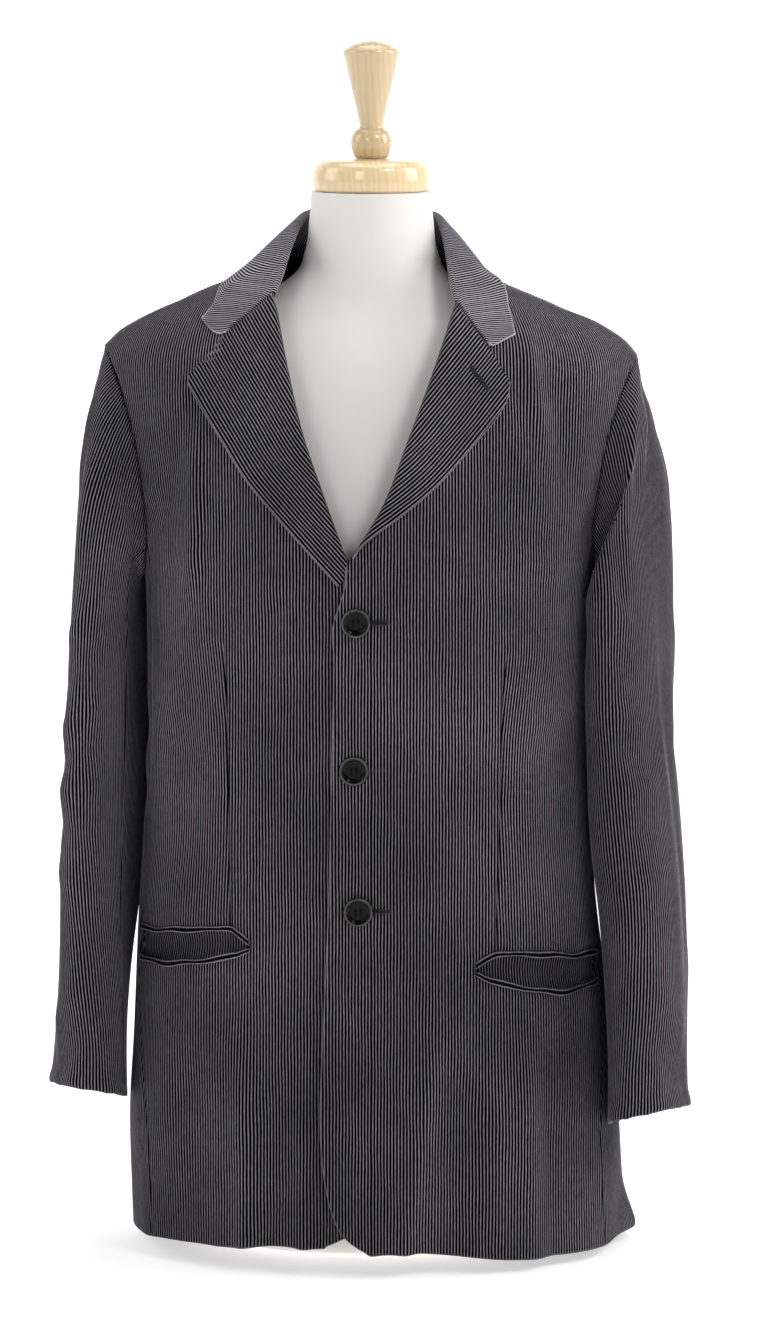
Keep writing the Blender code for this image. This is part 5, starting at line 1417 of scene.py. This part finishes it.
# ------------------------------------------------------------------ the coat
made = {}
for word, side in (("left", 1), ("right", -1)):
    made["front_" + word] = front_piece("front_" + word, side)
    made["side_" + word] = side_piece("side_" + word, side)
    made["back_" + word] = back_piece("back_" + word, side)
    made["sleeve_top_" + word] = sleeve_piece(word, side, False)
    made["sleeve_under_" + word] = sleeve_piece(word, side, True)
    made["lapel_" + word] = lapel_piece("lapel_" + word, side)
    for ob in pocket_pieces(word, side):
        made[ob.name[4:]] = ob
made["collar"], collar_wide = collar_piece()

# ------------------------------------------------------------------ buttons and worked holes
BUTTON_FINE = ((4.0, 0.0), (10.4, 0.1), (11.9, 0.7), (12.6, 1.7), (12.7, 2.5), (12.4, 3.6), (11.7, 4.4), (10.9, 4.7), (10.0, 4.6), (9.2, 4.1), (8.5, 3.4), (7.6, 2.95), (6.0, 2.75), (3.0, 2.7), (0.6, 2.7))


def eyes(verts, faces, c, ax, u, w):
    """Four eyes with thread crossed through them."""
    top = c + ax * 2.72
    for sx in (-1, 1):
        for sy in (-1, 1):
            q = top + u * 2.1 * sx + w * 2.1 * sy
            t = np.arange(17) * 2 * np.pi / 16
            p = q + 1.15 * (np.cos(t)[:16, None] * u + np.sin(t)[:16, None] * w)
            v, f = tube(p, np.repeat(ax[None], 16, 0), 0.28, 6, closed=True)
            faces += [tuple(i + len(verts) for i in x) for x in f]
            verts += list(v)
    for s in (-1, 1):
        for shift in (-0.35, 0.35):
            k = np.linspace(-1, 1, 9)[:, None]
            p = top + u * 2.1 * k + w * (2.1 * s + shift) + ax * (0.25 + 0.55 * np.cos(k * math.pi / 2))
            v, f = tube(p, np.repeat(ax[None], 9, 0), 0.33, 6)
            faces += [tuple(i + len(verts) for i in x) for x in f]
            verts += list(v)


# each button gets a rim weight for the horn material's lighter rim, partly horn colour and partly a painted highlight
for k, (bx, bz) in enumerate(BUTTONS):
    p, n = front_on(np.array(bx), np.array(bz), 1, np.array(0.8))
    lathe("front_button_%d" % (k + 1), fine_profile(BUTTON_FINE, 44), HORN, ("button_%d" % (k + 1),), centre=p, axis=n, seg=64, extra=eyes,
          tone_shift=lambda rad, h: math.exp(-((rad - 11.3) / 0.75) ** 2) * (h > 3.0))
    buttonhole("buttonhole_%d" % (k + 1), (bx - 6, bz + 0.3), (bx + 25.5, bz + 0.4), 1, 0.5)
buttonhole("lapel_buttonhole", (82.5, 780), (96, 763), 1, LIE + 0.6, 1.3)

# ------------------------------------------------------------------ dress form
FINIAL_FINE = ((13.2, 950.3), (14.5, 951.8), (16.1, 955.8), (17.2, 959.9), (17.5, 964.9), (17.0, 968.5), (16.2, 970.5), (14.9, 972.5), (13.2, 974.2), (11.6, 975.2),
               (10.4, 976.0), (10.1, 977.0), (10.6, 981.1), (13.9, 996.2), (18.7, 1016.4), (23.2, 1035.6), (23.8, 1037.8), (24.1, 1039.6), (23.8, 1041.1), (22.6, 1042.9),
               (21.2, 1043.6), (19.0, 1045.2), (13.6, 1047.7), (6.0, 1049.7), (0.8, 1050.2))
form_piece()
lathe("neck_cap", fine_profile(CAP, 60), WOOD, ("form_neck_cap",), centre=(0, FORM_Y, 0))
lathe("finial", fine_profile(FINIAL_FINE, 170), WOOD_SHADED, ("form_finial",), centre=(0, FORM_Y, 0))

# ------------------------------------------------------------------ the cut
for name, ob in made.items():
    wide, long, area = GRAIN[name]
    if name == "collar":
        wide, long, area = collar_wide, 0.1, collar_wide * 0.088
    if name.startswith("welt"):
        wide, area = 0.0105, 0.0105 * long
    if name.startswith("facing"):
        long, area = 0.03, wide * 0.03
    wide, long = max(wide, 0.0102), max(long, 0.0102)
    area = min(max(area, 0.3 * wide * long), wide * long)

# ------------------------------------------------------------------ floor, light, camera
sweep = [(-14 + 21 * k / 24, 0.0) for k in range(25)] + [(7 + 2.5 * math.sin(t), 2.5 - 2.5 * math.cos(t)) for t in np.linspace(0, math.pi / 2, 17)[1:]] + [(9.5, 2.5 + k) for k in range(1, 7)]
me = bpy.data.meshes.new("floor")
g = 24
me.from_pydata([(-16 + 32 * i / g, y, z) for y, z in sweep for i in range(g + 1)], [],
               [(j * (g + 1) + i, j * (g + 1) + i + 1, (j + 1) * (g + 1) + i + 1, (j + 1) * (g + 1) + i) for j in range(len(sweep) - 1) for i in range(g)])
me.polygons.foreach_set("use_smooth", [True] * len(me.polygons))
me.materials.append(paper())
floor = bpy.data.objects.new("floor", me)
bpy.context.scene.collection.objects.link(floor)

world = bpy.data.worlds.new("studio")
world.use_nodes = True
world.node_tree.nodes["Background"].inputs[0].default_value = (1.0, 1.0, 1.0, 1.0)
world.node_tree.nodes["Background"].inputs[1].default_value = 0.13
bpy.context.scene.world = world


def area_light(name, at, to, size, power, spread=180.0):
    d = bpy.data.lights.new(name, "AREA")
    d.shape = "RECTANGLE"
    d.size, d.size_y = size
    d.energy = power
    d.spread = math.radians(spread)
    ob = bpy.data.objects.new(name, d)
    ob.location = at
    v = np.array(to, float) - np.array(at, float)
    ob.rotation_euler = (math.atan2(math.hypot(v[0], v[1]), -v[2]), 0.0, math.atan2(-v[0], v[1]))
    bpy.context.scene.collection.objects.link(ob)
    return ob


area_light("key", (1.25, -1.6, 2.3), (0, -0.05, 0.93), (0.7, 0.7), 2.3, 56)
area_light("front", (-1.7, -3.9, 2.1), (0, 0, 0.95), (1.2, 1.2), 1.25, 40)
area_light("left_side", (-2.2, -0.1, 1.7), (0, 0, 0.75), (1.2, 1.6), 18)
area_light("right_side", (2.1, -0.1, 1.6), (0, 0, 0.7), (1.0, 1.6), 26)
area_light("top", (0.0, 0.3, 2.8), (0, 0, 0.9), (2.0, 1.4), 26)

cam = bpy.data.cameras.new("camera")
cam.sensor_width = 36.0
cam.lens = 142.62
cam.clip_end = 200.0
eye = bpy.data.objects.new("camera", cam)
eye.location = (0.01075, -4.5, 1.118)
eye.rotation_euler = (math.pi / 2 - math.atan2(0.615, 4.5), 0.0, 0.0)
bpy.context.scene.collection.objects.link(eye)
bpy.context.scene.camera = eye
bpy.context.scene.view_settings.view_transform = "Standard"
